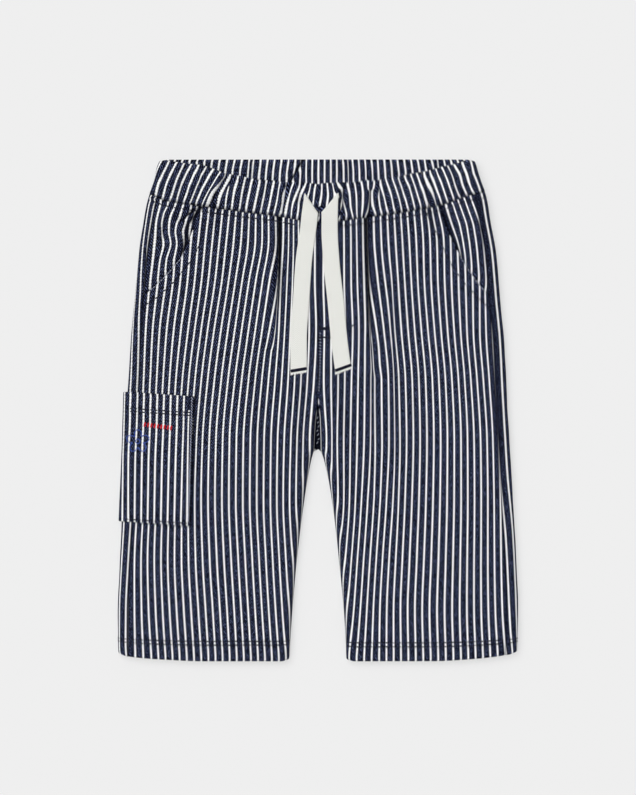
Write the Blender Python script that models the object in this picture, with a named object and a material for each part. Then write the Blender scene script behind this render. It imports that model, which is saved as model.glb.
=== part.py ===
"""Drawstring trousers for a baby, laid flat with the front up.

The frame is in metres: +X to the viewer's right, +Y towards the waist and +Z up from the
surface that the trousers lie on. The origin is under the middle of the outline. Left and
right are the viewer's. All sizes below are in millimetres and are scaled once, by MM.

Every cloth piece is a wall: a grid of middle points, each with its normal, closed to a
solid of the cloth's thickness. The section of the body is a flattened tube, so that a
panel can be followed from its front, round the side fold, to its back.
"""

import math
from collections import namedtuple

import bpy

MM = 0.001

# Driving sizes
LENGTH = 351.4
CLOTH = 1.2
BAND_THICK = 2.8
BAND_DEPTH = 25.4
SEAM_GAP = 0.3
WAIST_GAP = 0.6  # between the waistband and what is gathered on to it
LIE_GAP = 0.3
TAPE_WIDTH = 10.9
TAPE_THICK = 1.0

TOP_Y = LENGTH / 2
HEM_Y = -LENGTH / 2
CENTRE_X = 0.4
FORK_Y = 10.0  # where the two fronts part
FORK_OPENS = 0.6  # below 1: the gap between the fronts opens quickly
CROTCH_Y = -27.3  # where the two backs part
SIDE_ROLL = 4.6  # half width of the fold at each side
INNER_ROLL = 4.0  # the fold along each inner leg
INSEAM_Z = 2.6
LIP_ROLL = 1.6
SIDE_SEAM_IN = 8.0  # the side seams lie on the front, this far from the fold
BAND_PROUD = 1.6  # the waistband's face above the body's

LEFT, RIGHT = -1, 1

Outline = namedtuple("Outline", "y left right")
OUTLINE = [
    Outline(175.7, 110.5, 109.5),
    Outline(170.0, 113.0, 111.5),
    Outline(161.0, 115.0, 114.2),
    Outline(150.0, 118.7, 118.0),
    Outline(133.0, 122.2, 120.9),
    Outline(110.0, 125.7, 125.0),
    Outline(77.0, 128.7, 127.9),
    Outline(49.0, 131.2, 130.5),
    Outline(15.0, 133.4, 132.2),
    Outline(-30.0, 135.2, 134.8),
    Outline(-80.0, 137.6, 137.8),
    Outline(-110.0, 139.2, 139.4),
    Outline(-142.0, 140.4, 140.4),
    Outline(-164.0, 140.4, 139.9),
    Outline(-176.0, 139.5, 139.0),
]

Inner = namedtuple("Inner", "y left right")
INNER_LEG = [
    Inner(CROTCH_Y, 2.6, 1.6),
    Inner(-36.0, 5.0, 4.6),
    Inner(-63.0, 9.6, 9.8),
    Inner(-108.0, 15.1, 15.0),
    Inner(-152.0, 18.8, 18.9),
    Inner(-176.0, 20.2, 19.9),
]

# Height of the body's front face above the surface
Height = namedtuple("Height", "y height")
HEIGHT = [
    Height(176.0, 10.9),
    Height(130.0, 10.8),
    Height(60.0, 10.2),
    Height(-60.0, 9.8),
    Height(-176.0, 9.2),
]

# The seam under the waistband and the waistband's upper edge, across the front
Across = namedtuple("Across", "x seam top")
WAIST_FRONT = [
    Across(-119.0, 152.2, 174.9),
    Across(-106.0, 147.2, 174.3),
    Across(-82.0, 143.5, 171.5),
    Across(-60.0, 140.5, 164.6),
    Across(-28.0, 136.5, 160.0),
    Across(0.0, 132.0, 158.2),
    Across(30.0, 135.0, 160.0),
    Across(64.0, 140.0, 164.9),
    Across(86.0, 144.3, 170.0),
    Across(106.0, 151.0, 174.3),
    Across(119.0, 153.4, 174.9),
]

# The hem's line across each leg, by distance from the middle
Hem = namedtuple("Hem", "out left right")
HEM = [
    Hem(20.0, -174.4, -174.6),
    Hem(26.0, -175.7, -175.7),
    Hem(80.0, -175.7, -175.6),
    Hem(108.0, -174.5, -174.1),
    Hem(134.0, -172.0, -170.6),
    Hem(140.5, -169.6, -168.4),
]

# The slanted edge of each hip pocket, as distances from the middle
PocketEdge = namedtuple("PocketEdge", "y left right")
HIP_POCKET = [
    PocketEdge(146.0, 81.6, 83.6),
    PocketEdge(128.0, 86.8, 89.6),
    PocketEdge(110.0, 93.8, 98.2),
    PocketEdge(95.0, 105.6, 107.4),
    PocketEdge(84.0, 117.2, 116.0),
    PocketEdge(80.5, 121.5, 120.4),
]
POCKET_END_Y = 80.5
HIP_PIECE_UNDER = 11.0  # how far the hip piece runs under the front
HIP_PIECE_LOW_Y = 74.0
HIP_PIECE_GAP = 0.6  # between it and the front above it
HIP_PIECE_PAST_SEAM = 1.8  # and how far it runs under the back's edge
HIP_PIECE_SHOWS = 3.0  # at least this much of it shows

# The cargo pocket lies round the left side fold
CARGO_TOP_Y, CARGO_LOW_Y = 13.3, -77.0
CARGO_SLOPE = 0.071  # its edges fall this much for each millimetre inwards
CARGO_FRONT_TOP_X, CARGO_FRONT_LOW_X = 87.3, 90.0
CARGO_BACK_X = 96.0
CARGO_GAPE = 1.3  # how far its top edge stands off round the side fold
CARGO_GAPE_ON_FRONT = 0.4  # the share of that on the front
RAMP = 4.5  # the back climbs on to the pocket over this distance
RAMP_CLEAR = 2.0  # and is level this far outside its edges

# Largest folds of the front: each is a soft trough from its top to its foot
Fold = namedtuple("Fold", "top_x top_y foot_x foot_y half_width depth")
FOLDS = [
    Fold(-28.0, 137.0, -30.0, 72.0, 3.6, 2.0),
    Fold(33.0, 136.0, 38.5, 58.0, 3.8, 2.2),
    Fold(-60.0, 141.0, -88.0, 112.0, 4.4, 1.2),
    Fold(76.0, 142.0, 88.0, 96.0, 4.6, 1.2),
    Fold(-12.0, 30.0, -14.0, -60.0, 6.0, 0.7),
    Fold(14.0, 30.0, 24.0, -70.0, 6.0, 0.7),
]

# The drawstring's free ends: middle of the tape at each height
Tape = namedtuple("Tape", "side exit_x exit_y end_y toward route")
TapeRoute = namedtuple("TapeRoute", "y x")
TAPES = [
    Tape("left", -8.2, 150.9, 26.6, 1, [
        TapeRoute(150.9, -3.8), TapeRoute(138.6, -5.6), TapeRoute(127.4, -6.8),
        TapeRoute(105.0, -9.9), TapeRoute(77.0, -11.8), TapeRoute(49.0, -13.6),
        TapeRoute(26.6, -13.5)]),
    Tape("right", 14.2, 151.2, 28.0, -1, [
        TapeRoute(151.2, 8.6), TapeRoute(138.6, 8.2), TapeRoute(127.4, 8.1),
        TapeRoute(105.0, 9.3), TapeRoute(77.0, 12.3), TapeRoute(49.0, 14.9),
        TapeRoute(28.0, 17.7)]),
]
TAPE_TURN = 13.5  # the tape leaves its buttonhole sideways and turns down over this depth
TAPE_SHOWS = 0.8  # how much of its width shows at the buttonhole's upper end
TAPE_OPENS = 1.1  # how fast it comes out of the buttonhole
TAPE_STATIONS = 15

Finish = namedtuple("Finish", "colour roughness")
FINISHES = {
    "twill": Finish((0.13, 0.14, 0.2, 1.0), 0.85),
    "tape": Finish((0.78, 0.78, 0.74, 1.0), 0.8),
}

Spot = namedtuple("Spot", "x y z nx nz")


def material(piece, finish):
    """A Principled BSDF of the piece's own."""
    made = bpy.data.materials.new(piece + "_" + finish)
    made.use_nodes = True
    shader = made.node_tree.nodes["Principled BSDF"]
    shader.inputs["Base Color"].default_value = FINISHES[finish].colour
    shader.inputs["Roughness"].default_value = FINISHES[finish].roughness
    shader.inputs["Metallic"].default_value = 0.0
    return made


def smooth(t):
    t = min(max(t, 0.0), 1.0)
    return t * t * (3.0 - 2.0 * t)


def mix(a, b, t):
    return a + (b - a) * t


def read(table, column, by, at):
    """A column of a table as a smooth curve through its rows."""
    rows = sorted(table, key=lambda row: getattr(row, by))
    keys = [getattr(row, by) for row in rows]
    values = [getattr(row, column) for row in rows]
    at = min(max(at, keys[0]), keys[-1])
    low = max(i for i in range(len(keys) - 1) if keys[i] <= at)
    slopes = [(b - a) / (d - c) for a, b, c, d in zip(values, values[1:], keys, keys[1:])]

    def tangent(i):
        if i == 0:
            return slopes[0]
        if i == len(slopes):
            return slopes[-1]
        before, after = slopes[i - 1], slopes[i]
        if before * after <= 0.0:
            return 0.0
        return 2.0 * before * after / (before + after)

    span = keys[low + 1] - keys[low]
    t = (at - keys[low]) / span
    return (
        values[low] * (1 + 2 * t) * (1 - t) ** 2
        + values[low + 1] * t * t * (3 - 2 * t)
        + span * (tangent(low) * t * (1 - t) ** 2 - tangent(low + 1) * t * t * (1 - t))
    )


def name_of(side):
    return "left" if side == LEFT else "right"


def half_width(side, y):
    return read(OUTLINE, name_of(side), "y", y)


def front_face(y):
    return read(HEIGHT, "height", "y", y)


def seam_y(x, under=0.0):
    """The waist seam: the front's line at under 0, the back's level line at under 1."""
    front = read(WAIST_FRONT, "seam", "x", x)
    return mix(front, TOP_Y - BAND_DEPTH, smooth(under))


def body_y(side, out, level, under=0.0):
    """The level, bent near the waist seam and near the hem to follow their lines."""
    seam_low = read(WAIST_FRONT, "seam", "x", 0.0)
    to_seam = seam_y(side * out, under) - WAIST_GAP / 2 - seam_low
    to_hem = read(HEM, name_of(side), "out", out) - HEM_Y
    near_seam = max(0.0, 1.0 - (seam_low - level) / 60.0) ** 2
    near_hem = max(0.0, 1.0 - (level - HEM_Y) / 40.0) ** 2
    return level + to_seam * near_seam + to_hem * near_hem


def fold_depth(x, y):
    """How far the largest folds pull the front down at this place."""
    total = 0.0
    for fold in FOLDS:
        along_x, along_y = fold.foot_x - fold.top_x, fold.foot_y - fold.top_y
        length = math.hypot(along_x, along_y)
        t = ((x - fold.top_x) * along_x + (y - fold.top_y) * along_y) / length**2
        off = ((x - fold.top_x) * along_y - (y - fold.top_y) * along_x) / length
        fade = smooth((1.0 - t) / 0.5) * smooth((t + 0.15) / 0.15)
        total += fold.depth * fade * math.exp(-((off / fold.half_width) ** 2))
    return total


def front_z(x, y, thick=CLOTH):
    return front_face(y) - thick / 2 - fold_depth(x, y)


def cargo_line(out, at_fold):
    """One of the cargo pocket's edges, which fall from the side fold inwards."""
    return at_fold - CARGO_SLOPE * (half_width(LEFT, at_fold) - out)


def cargo_lift(side, out, y):
    """How far the back lies above the surface, where it lies on the cargo pocket."""
    if side == RIGHT:
        return 0.0
    reach = RAMP + RAMP_CLEAR
    over = smooth((cargo_line(out, CARGO_TOP_Y) + reach - y) / RAMP)
    under = smooth((y - cargo_line(out, CARGO_LOW_Y) + reach) / RAMP)
    beside = smooth((out - CARGO_BACK_X + reach) / RAMP)
    return (CLOTH + LIE_GAP) * over * under * beside


def side_fold(side, y, angle, thick=CLOTH, face=None, lift=0.0):
    """A spot on the fold at the side: angle 90 is on the front, -90 underneath."""
    top = (front_z(side * half_width(side, y), y) if face is None else face - thick / 2)
    low = thick / 2 + lift
    half_height = (top - low) / 2
    out = half_width(side, y) - thick / 2 - SIDE_ROLL * (1 - math.cos(angle))
    nx, nz = math.cos(angle) / SIDE_ROLL, math.sin(angle) / half_height
    size = math.hypot(nx, nz)
    z = (top + low) / 2 + half_height * math.sin(angle)
    return Spot(side * out, y, z, side * nx / size, nz / size)


def wall(name, rows, thick, finish="twill"):
    """A closed solid: the spots of the grid moved half a thickness to both sides."""
    across, down = len(rows[0]), len(rows)
    points = []
    for sign in (1, -1):
        for row in rows:
            for spot in row:
                off = sign * thick / 2
                points.append(
                    ((spot.x + spot.nx * off) * MM, spot.y * MM, (spot.z + spot.nz * off) * MM)
                )
    back = across * down

    def at(r, c, layer=0):
        return layer * back + r * across + c

    faces = []
    for r in range(down - 1):
        for c in range(across - 1):
            quad = (at(r, c), at(r + 1, c), at(r + 1, c + 1), at(r, c + 1))
            faces.append(quad)
            faces.append(tuple(i + back for i in reversed(quad)))
    rim = [(0, c) for c in range(across)]
    rim += [(r, across - 1) for r in range(1, down)]
    rim += [(down - 1, c) for c in range(across - 2, -1, -1)]
    rim += [(r, 0) for r in range(down - 2, 0, -1)]
    for (r0, c0), (r1, c1) in zip(rim, rim[1:] + rim[:1]):
        faces.append((at(r0, c0), at(r1, c1), at(r1, c1, 1), at(r0, c0, 1)))
    mesh = bpy.data.meshes.new(name)
    mesh.from_pydata(points, [], faces)
    if signed_volume(points, faces) < 0:
        mesh.flip_normals()
    made = bpy.data.objects.new(name, mesh)
    mesh.materials.append(material(name, finish))
    bpy.context.scene.collection.objects.link(made)
    mesh.shade_smooth()
    mesh.set_sharp_from_angle(angle=math.radians(40))
    return made


def signed_volume(points, faces):
    total = 0.0
    for face in faces:
        ax, ay, az = points[face[0]]
        for second, third in zip(face[1:], face[2:]):
            bx, by, bz = points[second]
            cx, cy, cz = points[third]
            total += ax * (by * cz - bz * cy) + ay * (bz * cx - bx * cz)
            total += az * (bx * cy - by * cx)
    return total / 6


def levels(*stretches):
    """Heights from the top down: each stretch is (from, to, steps)."""
    found = [stretches[0][0]]
    for start, end, steps in stretches:
        found += [mix(start, end, i / steps) for i in range(1, steps + 1)]
    return found


def settle(side, level, out_of, under=0.0):
    """The place where a column that is a function of height crosses a level."""
    y = level
    for _ in range(4):
        out = out_of(y)
        y = body_y(side, out, level, under)
    return out, y


def inner_turn(y):
    """How far the front's inner edge has rolled over, from 0 at the fork to 90 degrees."""
    return math.pi / 2 * smooth((FORK_Y + 2.0 - y) / 20.0)


def front_inner(side, y, part):
    """A spot on the roll along the inner leg: part 0 is its end, 1 is on the flat."""
    full = inner_turn(y)
    end = read(INNER_LEG, name_of(side), "y", y) + CLOTH / 2
    if y > CROTCH_Y:
        parted = max(0.0, (FORK_Y - y) / (FORK_Y - CROTCH_Y)) ** FORK_OPENS
        end = mix(side * CENTRE_X + SEAM_GAP / 2, end, parted)
    top = front_z(side * end, y)
    drop = top - INSEAM_Z - SEAM_GAP / 2
    angle = full * (1.0 - part)
    spread = INNER_ROLL * (math.sin(full) - math.sin(angle))
    flat = INNER_ROLL * (1.0 - math.sin(full)) * part
    nx, nz = -math.sin(angle) / INNER_ROLL, math.cos(angle) / drop
    size = math.hypot(nx, nz)
    z = top - drop * (1.0 - math.cos(angle))
    return Spot(side * (end + spread + flat), y, z, side * nx / size, nz / size)


def front_outer(side, y):
    """Distance of the front's outer edge: the pocket's slant, then the side seam."""
    seam = half_width(side, y) - SIDE_SEAM_IN - SEAM_GAP / 2
    if y < POCKET_END_Y:
        return seam
    return min(seam, read(HIP_POCKET, name_of(side), "y", y))


FRONT_LEVELS = levels(
    (132.0, 100.0, 4), (100.0, 80.6, 3), (80.6, 80.2, 1), (80.2, FORK_Y, 4),
    (FORK_Y, CROTCH_Y + 0.1, 3), (CROTCH_Y + 0.1, CROTCH_Y - 0.4, 1),
    (CROTCH_Y - 0.4, -150.0, 5), (-150.0, HEM_Y, 3),
)
FRONT_ROLL_PARTS = (0.0, 0.35, 0.7, 1.0)
FRONT_COLUMNS = (0.08, 0.16, 0.22, 0.27, 0.32, 0.37, 0.45, 0.55, 0.65, 0.75, 0.83, 0.9, 0.96, 1.0)


def front_panel(side):
    rows = []
    for level in FRONT_LEVELS:
        row = []
        for part in FRONT_ROLL_PARTS:
            _, y = settle(side, level, lambda y: abs(front_inner(side, y, part).x))
            row.append(front_inner(side, y, part))
        for share in FRONT_COLUMNS:
            def out_of(y, share=share):
                start = abs(front_inner(side, y, 1.0).x)
                return mix(start, front_outer(side, y), share)
            out, y = settle(side, level, out_of)
            row.append(Spot(side * out, y, front_z(side * out, y), 0.0, 1.0))
        rows.append(row)
    return wall("front_panel_" + name_of(side), rows, CLOTH)


def hip_piece(side):
    """The piece behind the slanted pocket, from under the front to under the back's edge."""
    under = CLOTH + HIP_PIECE_GAP
    rows = []
    for level in levels((132.0, 100.0, 4), (100.0, HIP_PIECE_LOW_Y, 4)):
        row = []
        for share in (0.0, 0.15, 0.3, 0.45, 0.6, 0.75, 0.9, 1.0):
            def out_of(y, share=share):
                end = half_width(side, y) - SIDE_SEAM_IN + HIP_PIECE_PAST_SEAM
                edge = read(HIP_POCKET, name_of(side), "y", y)
                start = min(edge, end - HIP_PIECE_SHOWS) - HIP_PIECE_UNDER
                return mix(start, end, share)
            out, y = settle(side, level, out_of)
            row.append(Spot(side * out, y, front_z(side * out, y) - under, 0.0, 1.0))
        rows.append(row)
    return wall("hip_pocket_" + name_of(side), rows, CLOTH)


def back_levels(side):
    if side == RIGHT:
        return levels(
            (132.0, 60.0, 5), (60.0, CROTCH_Y + 0.1, 4),
            (CROTCH_Y + 0.1, CROTCH_Y - 0.4, 1), (CROTCH_Y - 0.4, -150.0, 5),
            (-150.0, HEM_Y, 3),
        )
    return levels(
        (132.0, 60.0, 5), (60.0, 20.0, 2), (20.0, 12.5, 4), (12.5, CROTCH_Y + 0.1, 2),
        (CROTCH_Y + 0.1, CROTCH_Y - 0.4, 1), (CROTCH_Y - 0.4, -78.5, 3),
        (-78.5, -87.0, 4), (-87.0, -150.0, 3), (-150.0, HEM_Y, 3),
    )


FOLD_STEPS = 8


def back_inner(side, y, part):
    """The back's inner edge: flat at the middle seam, a small lip along the legs."""
    flat_z = CLOTH / 2
    if y > CROTCH_Y:
        end = side * CENTRE_X + SEAM_GAP / 2
        return Spot(side * (end + LIP_ROLL * part), y, flat_z, 0.0, -1.0)
    end = read(INNER_LEG, name_of(side), "y", y) + CLOTH / 2
    rise = INSEAM_Z - SEAM_GAP / 2 - flat_z
    angle = math.pi / 2 * part
    nx, nz = -math.cos(angle) / LIP_ROLL, -math.sin(angle) / rise
    size = math.hypot(nx, nz)
    out = end + LIP_ROLL * (1 - math.cos(angle))
    z = flat_z + rise * (1 - math.sin(angle))
    return Spot(side * out, y, z, side * nx / size, nz / size)


def back_panel(side):
    """From the side seam on the front, round the side fold, to the middle or inner leg."""
    ramp_foot = CARGO_BACK_X - RAMP_CLEAR - RAMP
    flats = [112.0, CARGO_BACK_X - RAMP_CLEAR, ramp_foot + RAMP / 2, ramp_foot, 50.0]
    if side == RIGHT:
        flats = [70.0]
    rows = []
    for level in back_levels(side):
        row = []
        for inward in (SIDE_SEAM_IN - SEAM_GAP / 2, 6.4):
            out, y = settle(side, level, lambda y: half_width(side, y) - inward)
            row.append(Spot(side * out, y, front_z(side * out, y), 0.0, 1.0))
        for step in range(FOLD_STEPS + 1):
            angle = math.pi / 2 * (1 - 2 * step / FOLD_STEPS)
            under = max(0.0, -angle / (math.pi / 2))
            _, y = settle(side, level, lambda y: abs(side_fold(side, y, angle).x), under)
            lift = cargo_lift(side, half_width(side, y), y)
            row.append(side_fold(side, y, angle, lift=lift))
        for flat in flats:
            out, y = settle(side, level, lambda y: flat, 1.0)
            lift = cargo_lift(side, out, y)
            row.append(Spot(side * out, y, CLOTH / 2 + lift, 0.0, -1.0))
        for part in (1.0, 0.6, 0.3, 0.0):
            _, y = settle(side, level, lambda y: abs(back_inner(side, y, part).x), 1.0)
            row.append(back_inner(side, y, part))
        rows.append(row)
    return wall("back_panel_" + name_of(side), rows, CLOTH)


def cargo_pocket():
    """Lies on the left leg's front and on its back, round the side fold."""
    off = CLOTH + LIE_GAP
    rows = []
    for down in (0.0, 0.12, 0.3, 0.5, 0.7, 0.88, 1.0):
        fold_y = mix(CARGO_TOP_Y, CARGO_LOW_Y, down)
        gape = CARGO_GAPE * (1.0 - down) ** 2

        def on_front(out):
            y = cargo_line(out, fold_y)
            return Spot(-out, y, front_z(-out, y) + off + gape * CARGO_GAPE_ON_FRONT, 0.0, 1.0)

        def on_back(out):
            return Spot(-out, cargo_line(out, fold_y), CLOTH / 2, 0.0, -1.0)

        fold_start = half_width(LEFT, fold_y) - CLOTH / 2 - SIDE_ROLL
        front_x = mix(CARGO_FRONT_TOP_X, CARGO_FRONT_LOW_X, down)
        row = [on_front(mix(front_x, fold_start, share)) for share in (0.0, 0.25, 0.5, 0.75)]
        for step in range(FOLD_STEPS + 1):
            angle = math.pi / 2 * (1 - 2 * step / FOLD_STEPS)
            spot = side_fold(LEFT, fold_y, angle, lift=off)
            y = cargo_line(abs(spot.x), fold_y)
            spot = side_fold(LEFT, y, angle, lift=off)
            out = off + gape * smooth(1.0 + angle / 0.9) * max(CARGO_GAPE_ON_FRONT, math.cos(angle))
            row.append(Spot(spot.x + spot.nx * out, y, spot.z + spot.nz * out, spot.nx, spot.nz))
        row[-1] = on_back(fold_start)
        row += [on_back(mix(fold_start, CARGO_BACK_X, share)) for share in (0.5, 1.0)]
        rows.append(row)
    return wall("cargo_pocket", rows, CLOTH)


BAND_CROWN = 0.7
BAND_DOWN = (0.0, 0.14, 0.5, 0.86, 1.0)


def crown(down):
    """The waistband is a soft tube of cloth and elastic: lower along its two edges."""
    return BAND_CROWN * abs(2 * down - 1) ** 3


def band_face(y):
    return front_face(y) + BAND_PROUD


def band_y(x, down, under=0.0):
    """A line across the waistband, from its upper edge at down 0 to its seam at down 1."""
    top = mix(read(WAIST_FRONT, "top", "x", x), TOP_Y, smooth(under))
    return mix(top, seam_y(x, under) + WAIST_GAP / 2, down)


def band_fold(side, angle, down):
    """A spot on the waistband's side fold."""
    under = max(0.0, -angle / (math.pi / 2))
    x = side * half_width(side, TOP_Y)
    for _ in range(3):
        y = band_y(x, down, under)
        spot = side_fold(side, y, angle, BAND_THICK, band_face(y))
        x = spot.x
    return spot._replace(z=spot.z - crown(down) * max(0.0, spot.nz))


def band_flat(side, share, down, under=0.0):
    """A spot on the waistband's flat front, or on its flat underside at under 1."""
    x = share * abs(band_fold(side, math.pi / 2 * (1 - 2 * under), down).x) * side
    y = band_y(x, down, under)
    if under:
        return Spot(x, y, BAND_THICK / 2, 0.0, -1.0)
    return Spot(x, y, band_face(y) - BAND_THICK / 2 - crown(down), 0.0, 1.0)


BAND_TURNS = (0.04, 0.25, 0.5, 0.75, 1.0)  # shares of a right angle, from the fold's middle


def waistband(name, face, shares):
    """Half of the ring, from the middle of one side fold to the middle of the other."""
    under = 0.0 if face > 0 else 1.0
    rows = []
    for down in BAND_DOWN:
        halves = []
        for side in (LEFT, RIGHT):
            half = [band_fold(side, face * math.pi / 2 * turn, down) for turn in BAND_TURNS]
            half += [band_flat(side, share, down, under) for share in shares]
            halves.append(half)
        middle = [band_flat(RIGHT, 0.0, down, under)]
        rows.append(halves[0] + middle + halves[1][::-1])
    return wall(name, rows, BAND_THICK)


def tape_height(y):
    """Middle of the tape: on the waistband, then down its edge on to the front."""
    lie = LIE_GAP + TAPE_THICK / 2
    on_band = band_face(y) + lie
    on_front = front_face(y) + lie + 0.1
    return mix(on_front, on_band, smooth((y - 122.0) / 14.0))


def drawstring(tape):
    """One free end of the flat drawstring, with the slanted turn at its buttonhole."""
    rows = []
    for station in range(TAPE_STATIONS):
        y = mix(tape.exit_y, tape.end_y, (station / (TAPE_STATIONS - 1)) ** 1.15)
        middle = read(tape.route, "x", "y", y)
        fallen = tape.exit_y - y
        outer = mix(tape.exit_x, middle - tape.toward * TAPE_WIDTH / 2, smooth(fallen / TAPE_TURN))
        reach = TAPE_SHOWS + fallen / TAPE_TURN * TAPE_WIDTH * TAPE_OPENS
        inner = outer + tape.toward * min(TAPE_WIDTH, reach)
        ends = sorted((outer, inner))
        rows.append([Spot(x, y, tape_height(y), 0.0, 1.0) for x in ends])
    return wall("drawstring_" + tape.side, rows, TAPE_THICK, "tape")


def clear_scene():
    for old in list(bpy.data.objects):
        bpy.data.objects.remove(old, do_unlink=True)


def build():
    clear_scene()
    for side in (LEFT, RIGHT):
        front_panel(side)
        hip_piece(side)
        back_panel(side)
    waistband("waistband_front", 1, (0.9, 0.8, 0.7, 0.6, 0.5, 0.4, 0.3, 0.2, 0.1))
    waistband("waistband_back", -1, (0.5,))
    cargo_pocket()
    for tape in TAPES:
        drawstring(tape)


build()
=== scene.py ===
"""The looks of the drawstring trousers: cloth, seams, stitches, pockets and tapes.

Left and right are the viewer's. Each cloth piece is a shell: a fine grid on the form of
its solid, with creases, closed to the cloth's thickness. Its grain holds the number of
the stripe across, the millimetres along and a painted shade that darkens the colour in
its folds and seams (or -1, for plain navy cloth), and the twill's material is drawn in them.
"""

import math
from collections import namedtuple
from functools import reduce

import bpy
import numpy as np
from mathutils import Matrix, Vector
from mathutils.bvhtree import BVHTree


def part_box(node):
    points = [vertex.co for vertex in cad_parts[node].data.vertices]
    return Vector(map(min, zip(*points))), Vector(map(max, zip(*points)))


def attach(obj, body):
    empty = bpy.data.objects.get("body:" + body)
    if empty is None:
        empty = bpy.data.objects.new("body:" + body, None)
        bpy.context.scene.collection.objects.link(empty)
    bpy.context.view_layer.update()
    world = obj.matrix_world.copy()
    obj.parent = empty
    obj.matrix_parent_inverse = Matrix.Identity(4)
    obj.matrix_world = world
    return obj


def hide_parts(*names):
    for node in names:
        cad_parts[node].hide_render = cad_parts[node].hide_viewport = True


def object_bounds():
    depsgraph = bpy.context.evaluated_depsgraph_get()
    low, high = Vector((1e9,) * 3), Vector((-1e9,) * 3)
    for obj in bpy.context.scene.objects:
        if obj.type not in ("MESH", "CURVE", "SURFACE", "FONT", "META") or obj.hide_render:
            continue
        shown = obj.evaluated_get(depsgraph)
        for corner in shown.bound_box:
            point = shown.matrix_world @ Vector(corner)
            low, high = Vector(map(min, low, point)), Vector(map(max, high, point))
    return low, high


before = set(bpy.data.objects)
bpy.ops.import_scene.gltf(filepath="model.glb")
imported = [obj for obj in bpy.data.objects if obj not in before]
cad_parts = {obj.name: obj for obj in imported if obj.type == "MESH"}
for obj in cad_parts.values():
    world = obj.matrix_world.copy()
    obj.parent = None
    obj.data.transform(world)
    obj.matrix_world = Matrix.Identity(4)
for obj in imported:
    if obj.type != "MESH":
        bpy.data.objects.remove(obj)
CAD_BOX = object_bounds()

MM = 0.001
LEFT, RIGHT = SIDES = (-1, 1)
SIDE_NAME = {LEFT: "left", RIGHT: "right"}
UP = (0.0, 0.0, 1.0)
KNOTS = 64


# ---- Curves and uneven values ----

def mix(a, b, t):
    return a + (b - a) * t


def smooth(t):
    t = np.clip(t, 0.0, 1.0)
    return t * t * (3.0 - 2.0 * t)


def curve(places, values):
    """A smooth curve through the values, with no overshoot, as a function for arrays."""
    order = np.argsort(places)
    keys = np.asarray(places, float)[order]
    values = np.asarray(values, float)[order]
    slopes = np.diff(values) / np.diff(keys)
    product, total = slopes[:-1] * slopes[1:], slopes[:-1] + slopes[1:]
    inner = np.where(product > 0.0, 2.0 * product / np.where(product > 0.0, total, 1.0), 0.0)
    tangents = np.concatenate([slopes[:1], inner, slopes[-1:]])

    def read(at):
        at = np.clip(at, keys[0], keys[-1])
        low = np.clip(np.searchsorted(keys, at, side="right") - 1, 0, len(slopes) - 1)
        span = keys[low + 1] - keys[low]
        t = (at - keys[low]) / span
        return (
            values[low] * (1 + 2 * t) * (1 - t) ** 2
            + values[low + 1] * t * t * (3 - 2 * t)
            + span * (tangents[low] * t * (1 - t) ** 2 - tangents[low + 1] * t * t * (1 - t))
        )

    return read


def curves(*rows):
    """A curve for each column of these rows, read by the first column."""
    places, *columns = zip(*rows)
    return [curve(places, column) for column in columns]


def by_side(*rows):
    """The curves for the left and the right, from rows of (place, left, right)."""
    return dict(zip(SIDES, curves(*rows)))


def patchy(x, y, cell, seed):
    """Smooth, uneven values from -1 to 1, the same on each run; cell is their size."""
    knots = np.random.RandomState(seed).uniform(-1.0, 1.0, (KNOTS, KNOTS))
    u, v = np.asarray(x, float) / cell, np.asarray(y, float) / cell
    left, low = np.floor(u).astype(int), np.floor(v).astype(int)
    s, t = smooth(u - left), smooth(v - low)
    left, low = left % KNOTS, low % KNOTS
    right, high = (left + 1) % KNOTS, (low + 1) % KNOTS
    below = mix(knots[low, left], knots[low, right], s)
    above = mix(knots[high, left], knots[high, right], s)
    return mix(below, above, t)


# ---- Sizes that come from the frame ----

TOP_Y = CAD_BOX[1].y / MM
HEM_Y = CAD_BOX[0].y / MM
BAND_LOW_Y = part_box("waistband_back")[0].y / MM

# ---- Sizes repeated from the part's source, in millimetres ----

CLOTH = 1.2
BAND_THICK = 2.8
SEAM_GAP = 0.3
WAIST_GAP = 0.6
LIE_GAP = 0.3
TAPE_WIDTH = 10.9
TAPE_THICK = 1.0
CENTRE_X = 0.4
FORK_Y = 10.0
CROTCH_Y = -27.3
SIDE_ROLL = 4.6
INNER_ROLL = 4.0
INSEAM_Z = 2.6
LIP_ROLL = 1.6
BAND_PROUD = 1.6

# How far out the side folds lie at each y, and how far in from them the side seams run
HALF_WIDTH = by_side(
    (175.7, 110.5, 109.5), (170.0, 113.0, 111.5), (161.0, 115.0, 114.2), (150.0, 118.7, 118.0),
    (133.0, 122.2, 120.9), (110.0, 125.7, 125.0), (77.0, 128.7, 127.9), (49.0, 131.2, 130.5),
    (15.0, 133.4, 132.2), (-30.0, 135.2, 134.8), (-80.0, 137.6, 137.8), (-110.0, 139.2, 139.4),
    (-142.0, 140.4, 140.4), (-164.0, 140.4, 139.9), (-176.0, 139.5, 139.0))
SIDE_SEAM_IN = by_side((150.0, 6.2, 8.0), (80.0, 6.2, 8.0), (20.0, 7.6, 8.0), (-150.0, 7.2, 8.0))
# How far out the inner legs and the slanted pockets' edges lie at each y
INNER_X = by_side(
    (CROTCH_Y, 2.6, 1.6), (-36.0, 5.0, 4.6), (-63.0, 9.6, 9.8), (-108.0, 15.1, 15.0),
    (-152.0, 18.8, 18.9), (-176.0, 20.2, 19.9))
POCKET_END_Y = 80.5
POCKET_X = by_side(
    (146.0, 81.6, 83.6), (128.0, 86.8, 89.6), (110.0, 93.8, 98.2), (95.0, 105.6, 107.4),
    (84.0, 117.2, 116.0), (POCKET_END_Y, 121.5, 120.4))
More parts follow.
